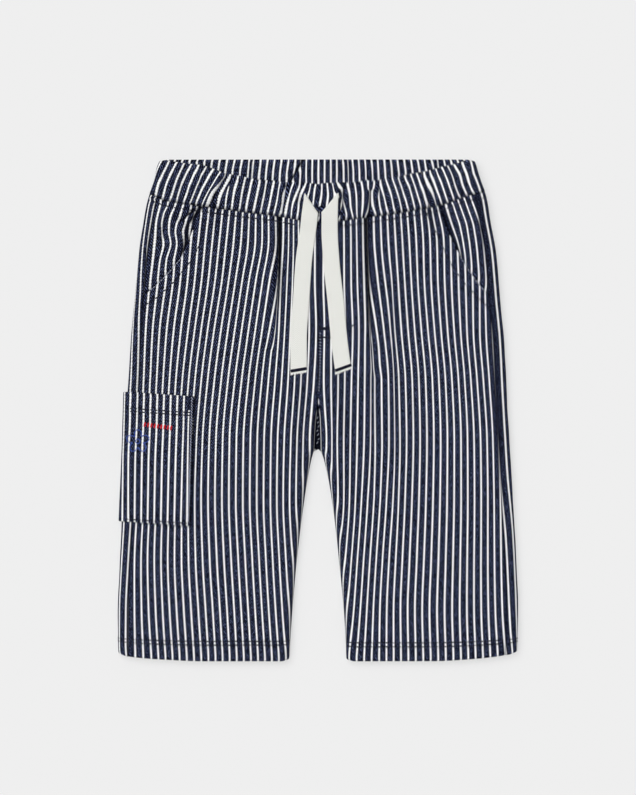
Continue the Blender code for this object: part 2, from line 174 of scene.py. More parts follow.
# The y of the hems by the distance out, and of the waist seam and the upper edge by x
HEM_LINE = by_side(
    (20.0, -174.4, -174.6), (26.0, -175.7, -175.7), (80.0, -175.7, -175.6),
    (108.0, -174.5, -174.1), (134.0, -172.0, -170.6), (140.5, -169.6, -168.4))
SEAM_LINE, TOP_LINE = curves(
    (-119.0, 152.2, 174.9), (-106.0, 147.2, 174.3), (-82.0, 143.5, 171.5), (-60.0, 140.5, 164.6),
    (-28.0, 136.5, 160.0), (0.0, 132.0, 158.2), (30.0, 135.0, 160.0), (64.0, 140.0, 164.9),
    (86.0, 144.3, 170.0), (106.0, 151.0, 174.3), (119.0, 153.4, 174.9))
# The height of the front's upper face at each y
FRONT_FACE = curve((176.0, 130.0, 60.0, -60.0, -176.0), (10.9, 10.8, 10.2, 9.8, 9.2))

HIP_PIECE_UNDER = 11.0  # how far it reaches in under the front
HIP_PIECE_LOW_Y = 74.0
HIP_PIECE_GAP = 0.6

CARGO_TOP_Y, CARGO_LOW_Y = 13.3, -77.0  # at the side fold
CARGO_SLOPE = 0.071
CARGO_FRONT_TOP_X, CARGO_FRONT_LOW_X = 87.3, 90.0
CARGO_BACK_X = 96.0
RAMP = 4.5  # where the back climbs on to the cargo pocket
RAMP_CLEAR = 2.0

# The drawstring's free ends: their routes are (y, x) points, `toward` is the way that each
# comes out of its slit, and `slope` is how much higher its end's right corner lies
Tape = namedtuple("Tape", "side exit_x exit_y end_y toward slope route")
TAPES = [
    Tape("left", -8.2, 150.9, 26.6, 1, 1.8, [
        (150.9, -3.8), (138.6, -5.6), (127.4, -6.8), (105.0, -9.9), (77.0, -11.8),
        (49.0, -13.6), (26.6, -13.5)]),
    Tape("right", 14.2, 151.2, 28.0, -1, 3.9, [
        (151.2, 8.6), (138.6, 8.2), (127.4, 8.1), (105.0, 9.3), (77.0, 12.3),
        (49.0, 14.9), (28.0, 17.7)]),
]
TAPE_TURN = 13.5  # over this height it turns from its slit to run down

# ---- Creases ----

# Each crease runs from its top to its foot. It rises or falls by `rise`, over `width` to
# each side, and `hold` is the share of its length that keeps its full depth. `sharp`
# narrows its right side (above 0) or its left side (below 0), as where cloth laps over,
# `bow` bends its middle sideways, and `swallow` is how many stripes go down into it.
Crease = namedtuple("Crease", "top_x top_y foot_x foot_y width rise hold sharp bow swallow",
                    defaults=(0.0, 0.0, 0.0))
FRONT_CREASES = [
    Crease(-27.3, 140.0, -30.6, 42.0, 2.4, -3.2, 0.35, sharp=0.3, bow=1.2, swallow=1.9),
    Crease(33.4, 139.0, 38.4, 24.0, 2.3, -3.6, 0.4, sharp=-0.3, bow=-0.8, swallow=2.3),
    Crease(38.0, 30.0, 37.6, -60.0, 3.6, -0.8, 0.3, swallow=0.5),
    Crease(52.0, 76.0, 54.6, -90.0, 4.0, -0.8, 0.4, bow=0.6, swallow=0.35),
    Crease(-79.0, 145.0, -93.6, 126.0, 2.2, -2.0, 0.5, sharp=0.4, bow=-1.0),
    Crease(-86.5, 141.5, -97.8, 131.6, 1.6, -2.4, 0.8),
    Crease(-91.4, 131.0, -96.0, 107.0, 1.5, -2.2, 0.8, bow=0.6),
    Crease(-106.0, 136.0, -111.4, 112.0, 2.0, -1.2, 0.6, bow=-1.0),
    Crease(-72.0, 142.0, -78.0, 118.0, 3.4, -0.9, 0.2, bow=0.8),
    Crease(76.0, 143.0, 80.0, 116.0, 2.6, -1.1, 0.3, bow=1.6),
    Crease(-12.0, 30.0, -14.0, -60.0, 6.0, -0.8, 0.4),
    Crease(14.0, 30.0, 24.0, -70.0, 6.0, -0.8, 0.4),
    Crease(-48.0, 139.0, -53.0, 96.0, 4.5, -0.7, 0.3),
    Crease(58.0, 140.0, 61.0, 98.0, 4.5, -0.7, 0.3),
    Crease(-104.0, 70.0, -112.0, 18.0, 6.0, -0.6, 0.4, bow=1.5),
    Crease(104.0, 64.0, 112.0, -40.0, 6.0, -0.6, 0.4, bow=-1.5),
    Crease(-46.0, 40.0, -40.0, -120.0, 9.0, -0.7, 0.5, bow=3.0),
    Crease(70.0, 30.0, 66.0, -130.0, 9.0, -0.7, 0.5, bow=-3.0),
]
BAND_CREASES = [
    Crease(-63.4, 166.5, -76.6, 142.0, 1.6, -2.6, 0.95, sharp=-0.3, bow=-0.6, swallow=1.0),
    Crease(-59.4, 166.0, -62.8, 155.0, 1.3, -2.2, 0.5, sharp=0.3),
    Crease(-21.6, 161.5, -25.4, 136.0, 1.0, -2.1, 0.9),
    Crease(14.4, 152.0, 15.6, 134.0, 1.4, -1.5, 0.8, bow=0.5),
    Crease(0.8, 143.0, 1.4, 132.0, 1.4, -2.2, 0.8),
    Crease(-11.4, 160.5, -15.6, 140.0, 1.6, -1.2, 0.6, sharp=0.3, bow=0.3),
    Crease(17.8, 160.0, 18.6, 138.0, 1.7, -1.9, 0.4, sharp=-0.3, bow=-1.0, swallow=1.0),
    Crease(36.4, 154.0, 35.0, 133.0, 1.9, -2.6, 0.9),
    Crease(42.6, 163.5, 42.6, 150.0, 1.2, -1.6, 0.3, swallow=0.9),
    Crease(72.0, 169.0, 78.4, 140.5, 1.5, -1.5, 0.9, bow=0.3, swallow=0.6),
    Crease(76.8, 170.0, 83.4, 141.5, 1.3, -1.0, 0.9),
    Crease(-104.0, 176.0, -113.0, 146.0, 4.0, -0.7, 0.8),
    Crease(-92.0, 175.0, -101.0, 145.0, 3.6, -0.8, 0.8),
    Crease(-78.0, 171.0, -90.0, 143.0, 3.0, -0.8, 0.8),
    Crease(-50.0, 165.0, -54.0, 137.0, 3.2, -0.8, 0.8),
    Crease(-38.0, 162.0, -41.0, 136.0, 3.2, -0.8, 0.8),
    Crease(55.0, 165.0, 60.0, 138.0, 3.0, -0.8, 0.8),
    Crease(91.0, 173.0, 97.0, 145.0, 3.4, -0.9, 0.8, bow=0.8),
    Crease(99.6, 176.0, 107.4, 147.0, 2.0, -0.8, 0.8, bow=-1.8),
]
BACK_BAND_CREASES = [
    Crease(-10.6, 177.0, -25.5, 151.0, 1.5, -2.0, 0.95, sharp=0.3, bow=0.4),
    Crease(-47.0, 177.0, -48.0, 150.0, 1.8, -1.0, 0.9, swallow=0.4),
    Crease(21.0, 177.0, 21.6, 150.0, 1.8, -1.0, 0.9, swallow=0.3),
    Crease(-76.0, 177.0, -78.0, 150.0, 2.4, -0.8, 0.9),
    Crease(52.0, 177.0, 51.0, 150.0, 2.4, -0.8, 0.9),
    Crease(84.0, 177.0, 80.0, 150.0, 2.0, -1.0, 0.9, swallow=0.2),
]
SHALLOW_FOLD = 0.6  # deeper folds get painted shade inside, by FOLD_SHADE for each millimetre more
FOLD_SHADE = 0.7

# ---- The run of the stripes ----

# Where some of the stripes lie: x at each of these heights. The others lie between them.
STRIPE_PITCH = 5.0
LEG_HEIGHTS = (143.0, 119.0, 91.0, 56.0, 21.0, -21.0, -63.0, -105.0, -140.0, -172.0)
LEG_STRIPES = {
    LEFT: {
        -12: (-123.6, -126.0, -129.0, -130.2, -131.1, -133.2, -134.9, -137.5, -138.4, -139.2),
        -8: (-100.0, -104.4, -106.5, -111.0, -113.0, -115.2, -117.6, -119.4, -118.6, -116.7),
        -4: (-81.0, -83.7, -86.3, -91.0, -95.0, -97.6, -99.6, -100.5, -99.0, -96.9),
        0: (-61.5, -64.1, -67.3, -72.8, -77.3, -80.9, -81.9, -80.8, -78.7, -76.7),
        4: (-43.4, -43.8, -48.3, -53.5, -58.3, -62.0, -62.4, -60.8, -58.7, -56.9),
        7: (-30.4, -29.8, -34.0, -39.2, -44.0, -47.4, -47.8, -46.0, -44.0, -42.0),
        10: (-23.8, -24.1, -25.6, -27.3, -30.0, -32.9, -33.3, -31.7, -29.7, -27.4),
        13: (-13.8, -13.6, -13.9, -15.4, -16.5, -19.1, -19.9, -17.8, -15.6, -13.2),
        16: (-2.6, -2.6, -2.6, -1.5, -2.9, -6.0, -6.4, -4.2, -2.0, 0.2),
        17: (2.4, 2.4, 2.4, 3.0, 2.4, -2.6, -2.8, 0.3, 2.5, 4.7),
    },
    RIGHT: {
        -18: (-0.4, -0.6, -1.0, -0.3, -0.6, 2.5, -0.6, -10.0, -11.6, -13.6),
        -17: (4.2, 4.0, 3.7, 4.5, 4.0, 6.1, 4.2, -3.6, -5.6, -8.0),
        -15: (13.2, 13.3, 13.4, 13.8, 14.1, 13.3, 14.1, 9.4, 6.4, 3.4),
        -13: (22.6, 23.1, 23.2, 24.4, 23.5, 22.7, 22.0, 19.1, 16.0, 12.6),
        -11: (30.9, 31.2, 31.9, 32.9, 32.6, 32.2, 30.4, 27.5, 25.0, 21.8),
        -7: (38.8, 39.3, 41.8, 46.1, 49.2, 49.6, 47.9, 45.1, 43.3, 42.8),
        -4: (52.8, 54.2, 56.1, 58.4, 61.2, 62.0, 60.9, 59.0, 57.7, 58.1),
        0: (71.6, 73.6, 74.4, 77.0, 80.1, 81.1, 80.5, 79.2, 78.0, 78.9),
        4: (87.6, 92.8, 93.4, 95.3, 98.3, 100.1, 100.2, 99.6, 99.2, 100.1),
        8: (106.0, 110.7, 113.2, 113.3, 115.8, 118.4, 118.9, 118.9, 119.3, 120.7),
        11: (119.6, 122.0, 123.7, 126.2, 128.1, 130.4, 131.9, 132.8, 133.9, 136.4),
    },
}
HIP_HEIGHTS = (150.0, 143.5, 137.0, 130.0, 125.0, 117.0, 105.0, 91.0, 74.0)
HIP_STRIPES = {
    LEFT: {
        -11: (-115.0, -116.8, -118.8, -120.2, -120.8, -121.6, -122.9, -124.1, -125.0),
        -10: (-109.4, -110.4, -111.9, -113.2, -113.6, -114.4, -115.5, -117.2, -118.6),
        -9: (-104.0, -105.4, -108.4, -109.7, -109.2, -108.0, -110.6, -112.2, -113.4),
        -8: (-98.8, -100.0, -102.8, -104.1, -104.3, -103.1, -106.2, -107.4, -108.8),
        -7: (-93.4, -94.4, -96.4, -99.2, -99.9, -98.8, -100.9, -102.4, -103.8),
        -6: (-87.8, -88.8, -90.6, -93.4, -94.6, -94.2, -95.6, -97.2, -98.8),
        -4: (-79.4, -80.6, -83.6, -84.8, -85.2, -85.4, -85.2, -86.6, -88.6),
    },
    RIGHT: {
        4.15: (81.2, 83.8, 86.0, 88.4, 90.4, 93.2, 96.4, 96.8, 97.0),
        5: (87.0, 89.9, 92.0, 94.3, 96.1, 98.6, 100.6, 101.2, 101.4),
        6: (91.8, 94.7, 96.9, 99.2, 100.2, 101.8, 103.6, 104.4, 104.6),
        7: (97.0, 99.4, 101.7, 104.0, 104.8, 106.0, 107.2, 107.9, 107.6),
        9: (106.6, 108.8, 111.1, 113.4, 114.3, 115.6, 116.7, 117.6, 116.8),
        11: (115.6, 118.2, 119.3, 120.3, 121.0, 122.1, 122.6, 123.8, 124.6),
    },
}
CARGO_HEIGHTS = (9.0, 0.4, -1.0, -35.0, -77.0)
CARGO_STRIPES = {
    -12: (-135.4, -135.6, -135.6, -136.0, -136.6),
    -11: (-131.0, -131.3, -131.3, -132.6, -132.9),
    -7: (-112.4, -112.7, -112.7, -113.9, -114.7),
    -3: (-93.6, -93.9, -93.9, -94.9, -95.9),
    -2: (-89.6, -90.0, -90.4, -91.2, -91.8),
}
# Shares of the waistband's depth, from its upper edge to its seam
BAND_SHARES = (0.0, 0.33, 0.66, 1.0)
BAND_STRIPES = {
    0: (-104.5, -108.5, -111.5, -113.4),
    4: (-83.8, -87.8, -91.0, -94.0),
    7: (-68.6, -72.6, -77.0, -81.0),
    8: (-65.6, -70.0, -74.8, -78.4),
    10: (-61.6, -64.8, -68.2, -70.3),
    11: (-59.8, -62.6, -64.0, -64.9),
    12: (-56.2, -57.8, -59.2, -60.3),
    17: (-31.0, -32.2, -33.6, -35.2),
    18: (-26.6, -28.0, -29.2, -31.0),
    19: (-22.5, -24.7, -25.6, -26.9),
    20: (-17.2, -19.9, -21.7, -22.8),
    22: (-8.8, -11.8, -13.7, -14.7),
    24: (-1.8, -2.8, -3.9, -4.8),
    25: (2.7, 2.0, 0.6, -0.5),
    28: (14.0, 17.0, 16.4, 14.6),
    30: (20.9, 22.2, 22.8, 24.6),
    32: (30.6, 31.6, 31.4, 30.6),
    33: (34.9, 35.4, 34.6, 32.4),
    33.3: (36.3, 36.4, 35.7, 34.0),
    33.7: (38.0, 37.1, 37.2, 38.8),
    34: (39.4, 38.4, 38.6, 40.3),
    36: (44.1, 45.3, 47.1, 49.0),
    37: (47.6, 50.1, 52.1, 53.9),
    40: (60.8, 63.6, 65.8, 67.9),
    42: (69.2, 71.8, 74.1, 76.3),
    44: (74.6, 77.0, 79.6, 82.3),
    47: (86.8, 89.9, 92.3, 94.8),
    49: (95.6, 98.9, 100.7, 103.8),
    50: (101.2, 103.9, 105.7, 109.2),
    51: (106.9, 108.2, 110.8, 113.2),
}
BACK_BAND_STRIPES = {
    0: (-106.0, -106.0, -106.0, -106.0),
    9: (-58.6, -60.0, -60.4, -60.6),
    12: (-45.3, -46.2, -46.8, -47.0),
    18: (-15.8, -16.9, -17.2, -17.3),
    20: (-8.3, -8.4, -8.4, -8.4),
    22: (0.4, 0.2, 0.2, 0.2),
    26: (17.5, 17.8, 17.8, 17.8),
    28: (24.2, 24.8, 24.9, 25.0),
    32: (41.9, 42.4, 42.6, 42.8),
    36: (60.5, 61.5, 62.0, 62.2),
    45: (103.0, 105.0, 106.0, 106.0),
}
# How far round from the side seam the back's first two stripes lie, at each y
SIDE_STRIPES = {
    LEFT: curves(
        (140.0, 1.2, 4.2), (114.0, 1.0, 3.6), (98.0, -0.1, 3.0), (84.0, -0.3, 2.4),
        (63.0, -0.6, 1.8), (49.0, -2.6, 1.4), (21.0, -3.6, 1.0), (-150.0, -3.2, 1.6)),
    RIGHT: curves(
        (140.0, -1.2, 4.7), (-40.0, -0.6, 4.7), (-90.0, 1.2, 6.2), (-132.0, 1.4, 6.2),
        (-150.0, 2.2, 6.9), (-161.0, 3.3, 7.7), (-171.0, 4.7, 8.9)),
}
SIDE_PITCH = {LEFT: 4.4, RIGHT: 5.0}
BACK_STRIPES = 28.5  # from the side seam to the middle of the seat
# How much the threads lean outwards, 100 mm out from the middle
BAND_LEAN = 0.5
BODY_LEAN = curve((-172.0, -63.0, 21.0, 143.0), (-0.05, 0.0, 0.1, 0.16))

# ---- Grids, folds and stitches ----

WAIST_REACH, HEM_REACH = 60.0, 40.0  # how far the rows bend to follow the seam and the hem
BODY_TOP = 132.0
STEP = 1.3  # spacing of the cloth's grid
HEM_FOLD = 0.75  # radius of the turned-up edge
GRID_LOW = HEM_Y + HEM_FOLD + CLOTH / 2
LEVELS = np.linspace(BODY_TOP, GRID_LOW, int((BODY_TOP - GRID_LOW) / STEP) + 1)[:, None]
ROLL_COLUMNS, FRONT_COLUMNS = 8, 116
HIP_ROWS, HIP_COLUMNS = 56, 40
BACK_COLUMNS = 60
FOLD_TURNS = 26
FOLD_ANGLES = [math.pi / 2 * (1 - 2 * turn / FOLD_TURNS) for turn in range(FOLD_TURNS + 1)]
SIDE_FLATS = 4  # the back's columns that lie on the front, beside the side fold
POCKET_GAPE = {LEFT: 1.0, RIGHT: 3.4}  # how wide each slanted pocket's edge stands open
BAND_ROWS, BAND_TURNS = 27, 9
BAND_FLATS = {"front": 210, "back": 150}
BAND_INSET = 0.9  # the casing's rounded edges start this far inside its outline
CARGO_ROWS, CARGO_FLATS, CARGO_UNDER = 72, 34, 16
CARGO_SEEN = 4  # turns of its fold that CARGO_STRIPES still reaches
CARGO_HEM = 10.2  # depth of the turned-in corner of its hem
TAPE_ROWS, TAPE_COLUMNS = 90, 15
TAPE_FOLD = 0.55  # radius of the tape's turn into its slit

HEM_STITCHES = {LEFT: (14.0, 11.4), RIGHT: (13.0, 10.2)}  # heights above the hem's edge
WAIST_STITCH_DOWN = 4.1
# The rows along the cargo pocket's top hem and its lower edge
CARGO_STITCHES = (CARGO_TOP_Y - 11.6, CARGO_TOP_Y - 13.7, CARGO_LOW_Y + 1.3)
SLANT_STITCHES = {
    LEFT: [(-77.7, 135.0), (-80.5, 125.0), (-83.6, 115.0), (-89.6, 104.0), (-95.9, 96.3),
           (-101.5, 89.5), (-107.8, 83.7), (-113.0, 78.8), (-118.3, 75.3), (-123.0, 73.2)],
    RIGHT: [(75.8, 138.0), (81.9, 126.4), (87.9, 113.5), (93.1, 102.6), (97.7, 95.6),
            (102.9, 88.6), (107.8, 83.5), (112.4, 78.8), (116.2, 74.8), (120.2, 71.4)],
}
STITCH_SIDES = 6
# Each ring of a stitch: its share of the length, of the radius, and its height
STITCH_RINGS = ((0.0, 0.4, -0.25), (0.12, 0.85, 0.0), (0.5, 1.0, 0.12), (0.88, 0.85, 0.0),
                (1.0, 0.4, -0.25))
TICK = {"length": 9.0, "share": 1.0}  # one whole thread along each short path

FLOWER_X, FLOWER_Y, FLOWER_SIZE = -126.0, -21.5, 8.2
PETALS = 5

# ---- Colours, light and view ----

def linear(red, green, blue):
    """A colour as it looks on a screen, 0 to 255, as the shader takes it."""
    parts = [value / 255 for value in (red, green, blue)]
    return tuple(v / 12.92 if v <= 0.04045 else ((v + 0.055) / 1.055) ** 2.4 for v in parts) + (1.0,)


TWILL_ACROSS, TWILL_ALONG = 1.55, 2.1  # millimetres from one rib to the next
STRIPE_HALF, FULL_STRIPE_HALF = 0.6, 0.68  # on the flat cloth, and on the waistband and pocket
NAVY_DARK = linear(0, 0, 10)
NAVY_LIGHT = linear(117, 128, 174)
# Painted shade: the colour that folds and seams darken towards, where shade falls
PAINTED_SHADE_COLOUR = linear(4, 5, 14)
STRIPE_WHITE = linear(252, 252, 252)
STRIPE_GREY = linear(158, 162, 178)

VIEW_HEIGHT = 0.5565  # metres of the scene from the picture's lower to its upper edge
VIEW_MIDDLE = (0.0, 0.0091, 0.010)
CAMERA_UP = 3.0
SENSOR = 36.0
FLOOR_SIZE = 6.0
FLOOR_SHADE = linear(240, 240, 240)
FLOOR_SHADOW = 0.36  # share of the floor that takes the object's shadow
SKY = 0.3
SUN = 2.25
SUN_ANGLE = 54.0
SUN_FROM = (-0.3, 0.22, 1.0)


# ---- The body's form ----

def bell(distance, width, power=2):
    """1 at no distance, fading out over the width to each side."""
    return np.exp(-((distance / width) ** power))


def darkest(*shades):
    return reduce(np.maximum, shades)


def crease_place(crease, x, y):
    """(distance to its right, share of its length from its top) of points by a crease."""
    along_x, along_y = crease.foot_x - crease.top_x, crease.foot_y - crease.top_y
    length = math.hypot(along_x, along_y)
    t = ((x - crease.top_x) * along_x + (y - crease.top_y) * along_y) / length**2
    off = ((y - crease.top_y) * along_x - (x - crease.top_x) * along_y) / length
    bend = crease.bow * np.sin(math.pi * np.clip(t, 0.0, 1.0))
    return off - bend, t


def crease_left(crease, t):
    """How much of a crease is left on its way down, from 1 to 0."""
    return np.clip((1.0 - t) / max(1.0 - crease.hold, 0.05), 0.0, 1.0)


def crease_fade(crease, t):
    """The crease's depth along its length: a short start, and a slow end after `hold`."""
    return smooth(crease_left(crease, t)) * smooth((t + 0.08) / 0.08)


def crease_relief(creases, x, y):
    """How far the creases move the cloth up or down."""
    total = np.zeros(np.broadcast(x, y).shape)
    for crease in creases:
        off, t = crease_place(crease, x, y)
        narrow = 1.0 - abs(crease.sharp)
        right = crease.width * (narrow if crease.sharp > 0 else 1.0)
        left = crease.width * (narrow if crease.sharp < 0 else 1.0)
        width = np.where(off > 0, right, left)
        shoulder = bell(np.abs(off) - 2.2 * width, 1.2 * width)
        total += crease.rise * crease_fade(crease, t) * (bell(off, width) - 0.16 * shoulder)
    return total


def painted_fold_shade(creases, x, y):
    """Painted shade inside the folds, from 0 to 1: the deeper, the darker."""
    total = np.zeros(np.broadcast(x, y).shape)
    for crease in creases:
        off, t = crease_place(crease, x, y)
        depth = min(max(FOLD_SHADE * (-crease.rise - SHALLOW_FOLD), 0.0), 1.0)
        dark = bell(off - 0.2 * crease.width, 0.75 * crease.width, 4)
        total = np.maximum(total, depth * dark * crease_fade(crease, t))
    return total


def swallowed(creases, x, y, soft=True):
    """How many stripes the creases to the left of each point have taken in."""
    total = np.zeros(np.broadcast(x, y).shape)
    for crease in creases:
        if crease.swallow:
            off = crease_place(crease, x, y)[0]
            t = (crease.top_y - y) / (crease.top_y - crease.foot_y)
            amount = crease.swallow * crease_left(crease, t) ** 0.7 * smooth((t + 0.2) / 0.2)
            passed = 0.5 * (1.0 + np.tanh(off / (0.3 * crease.width))) if soft else off > 0.0
            total += amount * passed
    return total


def body_relief(x, y):
    """The front's creases, the gathers under the waistband and slight unevenness."""
    below = SEAM_LINE(x) - y
    gathers = 0.45 * patchy(x + 40.0, y * 0.12, 9.0, 3) * bell(below, 30.0)
    soft = 0.35 * patchy(x, y * 0.35, 26.0, 5) + 0.12 * patchy(x, y * 0.5, 9.0, 8)
    ridge = 0.45 * bell(below - 2.2, 1.1) - 0.4 * bell(below - WAIST_STITCH_DOWN, 0.8)
    return crease_relief(FRONT_CREASES, x, y) + gathers + soft + ridge


def front_z(x, y, thick=CLOTH):
    return FRONT_FACE(y) - thick / 2 + body_relief(x, y)


def seam_y(x, under=0.0):
    """The waist seam: the front's line at under 0, the back's level line at under 1."""
    return mix(SEAM_LINE(x), BAND_LOW_Y - WAIST_GAP / 2, smooth(np.asarray(under, float)))


def body_y(side, out, level, under=0.0):
    """The level, bent near the waist seam and near the hem to follow their lines."""
    seam_low = SEAM_LINE(0.0)
    to_seam = seam_y(side * out, under) - WAIST_GAP / 2 - seam_low
    to_hem = HEM_LINE[side](out) - HEM_Y
    near_seam = np.clip(1.0 - (seam_low - level) / WAIST_REACH, 0.0, None) ** 2
    near_hem = np.clip(1.0 - (level - HEM_Y) / HEM_REACH, 0.0, None) ** 2
    return level + to_seam * near_seam + to_hem * near_hem


def settle(side, level, out_of, under=0.0):
    """The place where a column that is a function of height crosses a level."""
    y = level
    for _ in range(4):
        out = out_of(y)
        y = body_y(side, out, level, under)
    return out, y


def seam_out(side, y):
    """How far out the side seam lies."""
    return HALF_WIDTH[side](y) - SIDE_SEAM_IN[side](y)


def seam_dip(distance, depth=0.7, width=1.3):
    """Cloth turns down towards a seam at its edge."""
    return -depth * bell(distance, width)


def waist_dip(x, y):
    """Cloth turns down more steeply into the waist seam."""
    return seam_dip(SEAM_LINE(x) - y, 1.5, 1.1)


def seat(y):
    """1 above the fork, where the two fronts are joined, and 0 below it."""
    return smooth((y - FORK_Y) / 10.0)


def cargo_line(out, at_fold):
    """A line across the cargo pocket, by the y at which it crosses the side fold."""
    return at_fold - CARGO_SLOPE * (HALF_WIDTH[LEFT](at_fold) - out)


def cargo_front_out(y):
    """How far out the cargo pocket's inner edge lies."""
    up = (y - CARGO_LOW_Y) / (CARGO_TOP_Y - CARGO_LOW_Y)
    return mix(CARGO_FRONT_LOW_X, CARGO_FRONT_TOP_X, up)


def cargo_lift(side, out, y):
    """How far the back lies above the surface, where it lies on the cargo pocket."""
    if side == RIGHT:
        return np.zeros(np.broadcast(out, y).shape)
    reach = RAMP + RAMP_CLEAR
    over = smooth((cargo_line(out, CARGO_TOP_Y) + reach - y) / RAMP)
    under = smooth((y - cargo_line(out, CARGO_LOW_Y) + reach) / RAMP)
    beside = smooth((out - CARGO_BACK_X + reach) / RAMP)
    return (CLOTH + LIE_GAP) * over * under * beside


def side_fold(side, y, angle, thick=CLOTH, face=None, lift=0.0):
    """(distance out, height) on the side fold: angle 90 is on the front, -90 underneath."""
    if face is None:
        top = front_z(side * HALF_WIDTH[side](y), y)
    else:
        top = face - thick / 2
    low = thick / 2 + lift
    out = HALF_WIDTH[side](y) - thick / 2 - SIDE_ROLL * (1 - np.cos(angle))
    return out, (top + low) / 2 + (top - low) / 2 * np.sin(angle)


def beneath(angle):
    """How far underneath a place on the side fold is, up to 1 at its lower end."""
    return max(0.0, -angle / (math.pi / 2))


# ---- Stripes ----

def stripe_number(stripes, heights, x, y, key=None, creases=()):
    """The stripe coordinate of each point. The heights are levels of key, or else of y."""
    key = y if key is None else key
    at = [curve(heights, xs)(key) for xs in stripes.values()]
    shown = [stripe - swallowed(creases, place, y, False) for stripe, place in zip(stripes, at)]
    first = (shown[1] - shown[0]) / (at[1] - at[0])
    last = (shown[-1] - shown[-2]) / (at[-1] - at[-2])
    found = shown[0] + np.minimum(x - at[0], 0.0) * first + np.maximum(x - at[-1], 0.0) * last
    for place, beyond, here, there in zip(at, at[1:], shown, shown[1:]):
        found = found + np.clip((x - place) / (beyond - place), 0.0, 1.0) * (there - here)
    return found + swallowed(creases, x, y)


def run_on(number, steps, start, end):
    """Carries stripe numbers on from one column to another by the steps between columns."""
    way = 1 if end > start else -1
    for place in range(start, end, way):
        number[:, place + way] = number[:, place] + way * steps[:, min(place, place + way)]


def along_cloth(x, y, lean):
    """The distance along the cloth's threads, which lean outwards to each side."""
    return y - lean * x * x / 200.0


# ---- Making shells ----

Cloth = namedtuple("Cloth", "points normals grain outward")


def stacked(*parts):
    """Three arrays as one array of triples."""
    return np.stack(np.broadcast_arrays(*parts), -1)


def joined(columns):
    """A grid of points from its columns of (x, y, z)."""
    return np.concatenate([stacked(*column) for column in columns], axis=1)


def column_steps(points):
    """Distances from each of a grid's columns to the next, seen along the leg."""
    return np.linalg.norm(np.diff(points[..., ::2], axis=1), axis=2)


def grid_normals(points, outward):
    down = np.gradient(points, axis=0)
    across = np.gradient(points, axis=1)
    normals = np.cross(across, down) * outward
    return normals / np.linalg.norm(normals, axis=2, keepdims=True)


def cloth_of(points, grain, outward):
    return Cloth(points, grid_normals(points, outward), grain, outward)


def turned(row, normals, way, angle, radius):
    """A row of points carried round a fold of this radius, which starts off this way."""
    return row + normals * (math.cos(angle) - 1.0) * radius + way * math.sin(angle) * radius


def rim_loop(rows, columns):
    """The (row, column) places round a grid's rim, in order."""
    loop = [(0, c) for c in range(columns)]
    loop += [(r, columns - 1) for r in range(1, rows)]
    loop += [(rows - 1, c) for c in range(columns - 2, -1, -1)]
    loop += [(r, 0) for r in range(rows - 2, 0, -1)]
    return loop


def rim_outward(points, loop):
    """The direction out of the cloth at each place on its rim."""
    rows, columns = points.shape[:2]
    found = []
    for axis, last in ((0, rows - 1), (1, columns - 1)):
        way = np.gradient(points, axis=axis)
        way /= np.linalg.norm(way, axis=2, keepdims=True)
        found.append([way[place] * ((place[axis] == last) - (place[axis] == 0)) for place in loop])
    total = np.sum(found, axis=0)
    return total / np.linalg.norm(total, axis=1, keepdims=True)


def make_mesh(name, points, faces, grain, made_of):
    """One mesh in metres, with its grain as coordinates and its painted shade as an attribute."""
    mesh = bpy.data.meshes.new(name)
    mesh.from_pydata((np.asarray(points) * MM).tolist(), [], faces)
    if grain is not None:
        layer = mesh.uv_layers.new(name="grain")
        order = np.empty(len(mesh.loops), np.int32)
        mesh.loops.foreach_get("vertex_index", order)
        layer.data.foreach_set("uv", np.asarray(grain[:, :2], np.float32)[order].ravel())
        shade = mesh.attributes.new("shade", "FLOAT", "POINT")
        shade.data.foreach_set("value", np.asarray(grain[:, 2], np.float32))
    mesh.materials.append(made_of)
    mesh.shade_smooth()
    made = bpy.data.objects.new(name, mesh)
    bpy.context.scene.collection.objects.link(made)
    return made


def shell(name, cloth, thick, made_of, rim_steps=2, rim_round=0.8):
    """Closes a grid to a thin solid: its two faces, and a rounded rim between them."""
    rows, columns = cloth.points.shape[:2]
    flat = cloth.points.reshape(-1, 3)
    off = cloth.normals.reshape(-1, 3) * thick / 2
    grain = cloth.grain.reshape(-1, 3)
    count = rows * columns
    index = np.arange(count).reshape(rows, columns)
    quads = np.stack([index[:-1, :-1], index[:-1, 1:], index[1:, 1:], index[1:, :-1]], -1)
    quads = quads.reshape(-1, 4)
    flipped = cloth.outward < 0
    if flipped:
        quads = quads[:, ::-1]
    points = [flat + off, flat - off]
    grains = [grain, grain]
    faces = quads.tolist() + (quads[:, ::-1] + count).tolist()
    loop = rim_loop(rows, columns)
    places = np.array([r * columns + c for r, c in loop])
    outward = rim_outward(cloth.points, loop)
    rings = [places]
    for step in range(1, rim_steps):
        angle = math.pi * step / rim_steps
        rings.append(2 * count + (step - 1) * len(loop) + np.arange(len(loop)))
        points.append(
            flat[places] + off[places] * math.cos(angle)
            + outward * thick / 2 * math.sin(angle) * rim_round
        )
        grains.append(grain[places])
    rings.append(places + count)
    for near, far in zip(rings, rings[1:]):
        strip = np.stack([near, far, np.roll(far, -1), np.roll(near, -1)], -1)
        faces += (strip[:, ::-1] if flipped else strip).tolist()
    return make_mesh(name, np.concatenate(points), faces, np.concatenate(grains), made_of)


def finish_piece(piece, slot, *nodes):
    """Every piece rides on the only body, and some stand for solids of the CAD model."""
    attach(piece, "root")
    if nodes:
        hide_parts(*nodes)
    return piece


def sheet(name, cloth, thick, made_of, node, kind, held="laid", **rim):
    """One cloth piece: its mesh, in place of the solid that it stands for."""
    made = shell(name, cloth, thick, made_of, **rim)
    finish_piece(made, "striped_twill", node)
    return made


# ---- Fronts ----

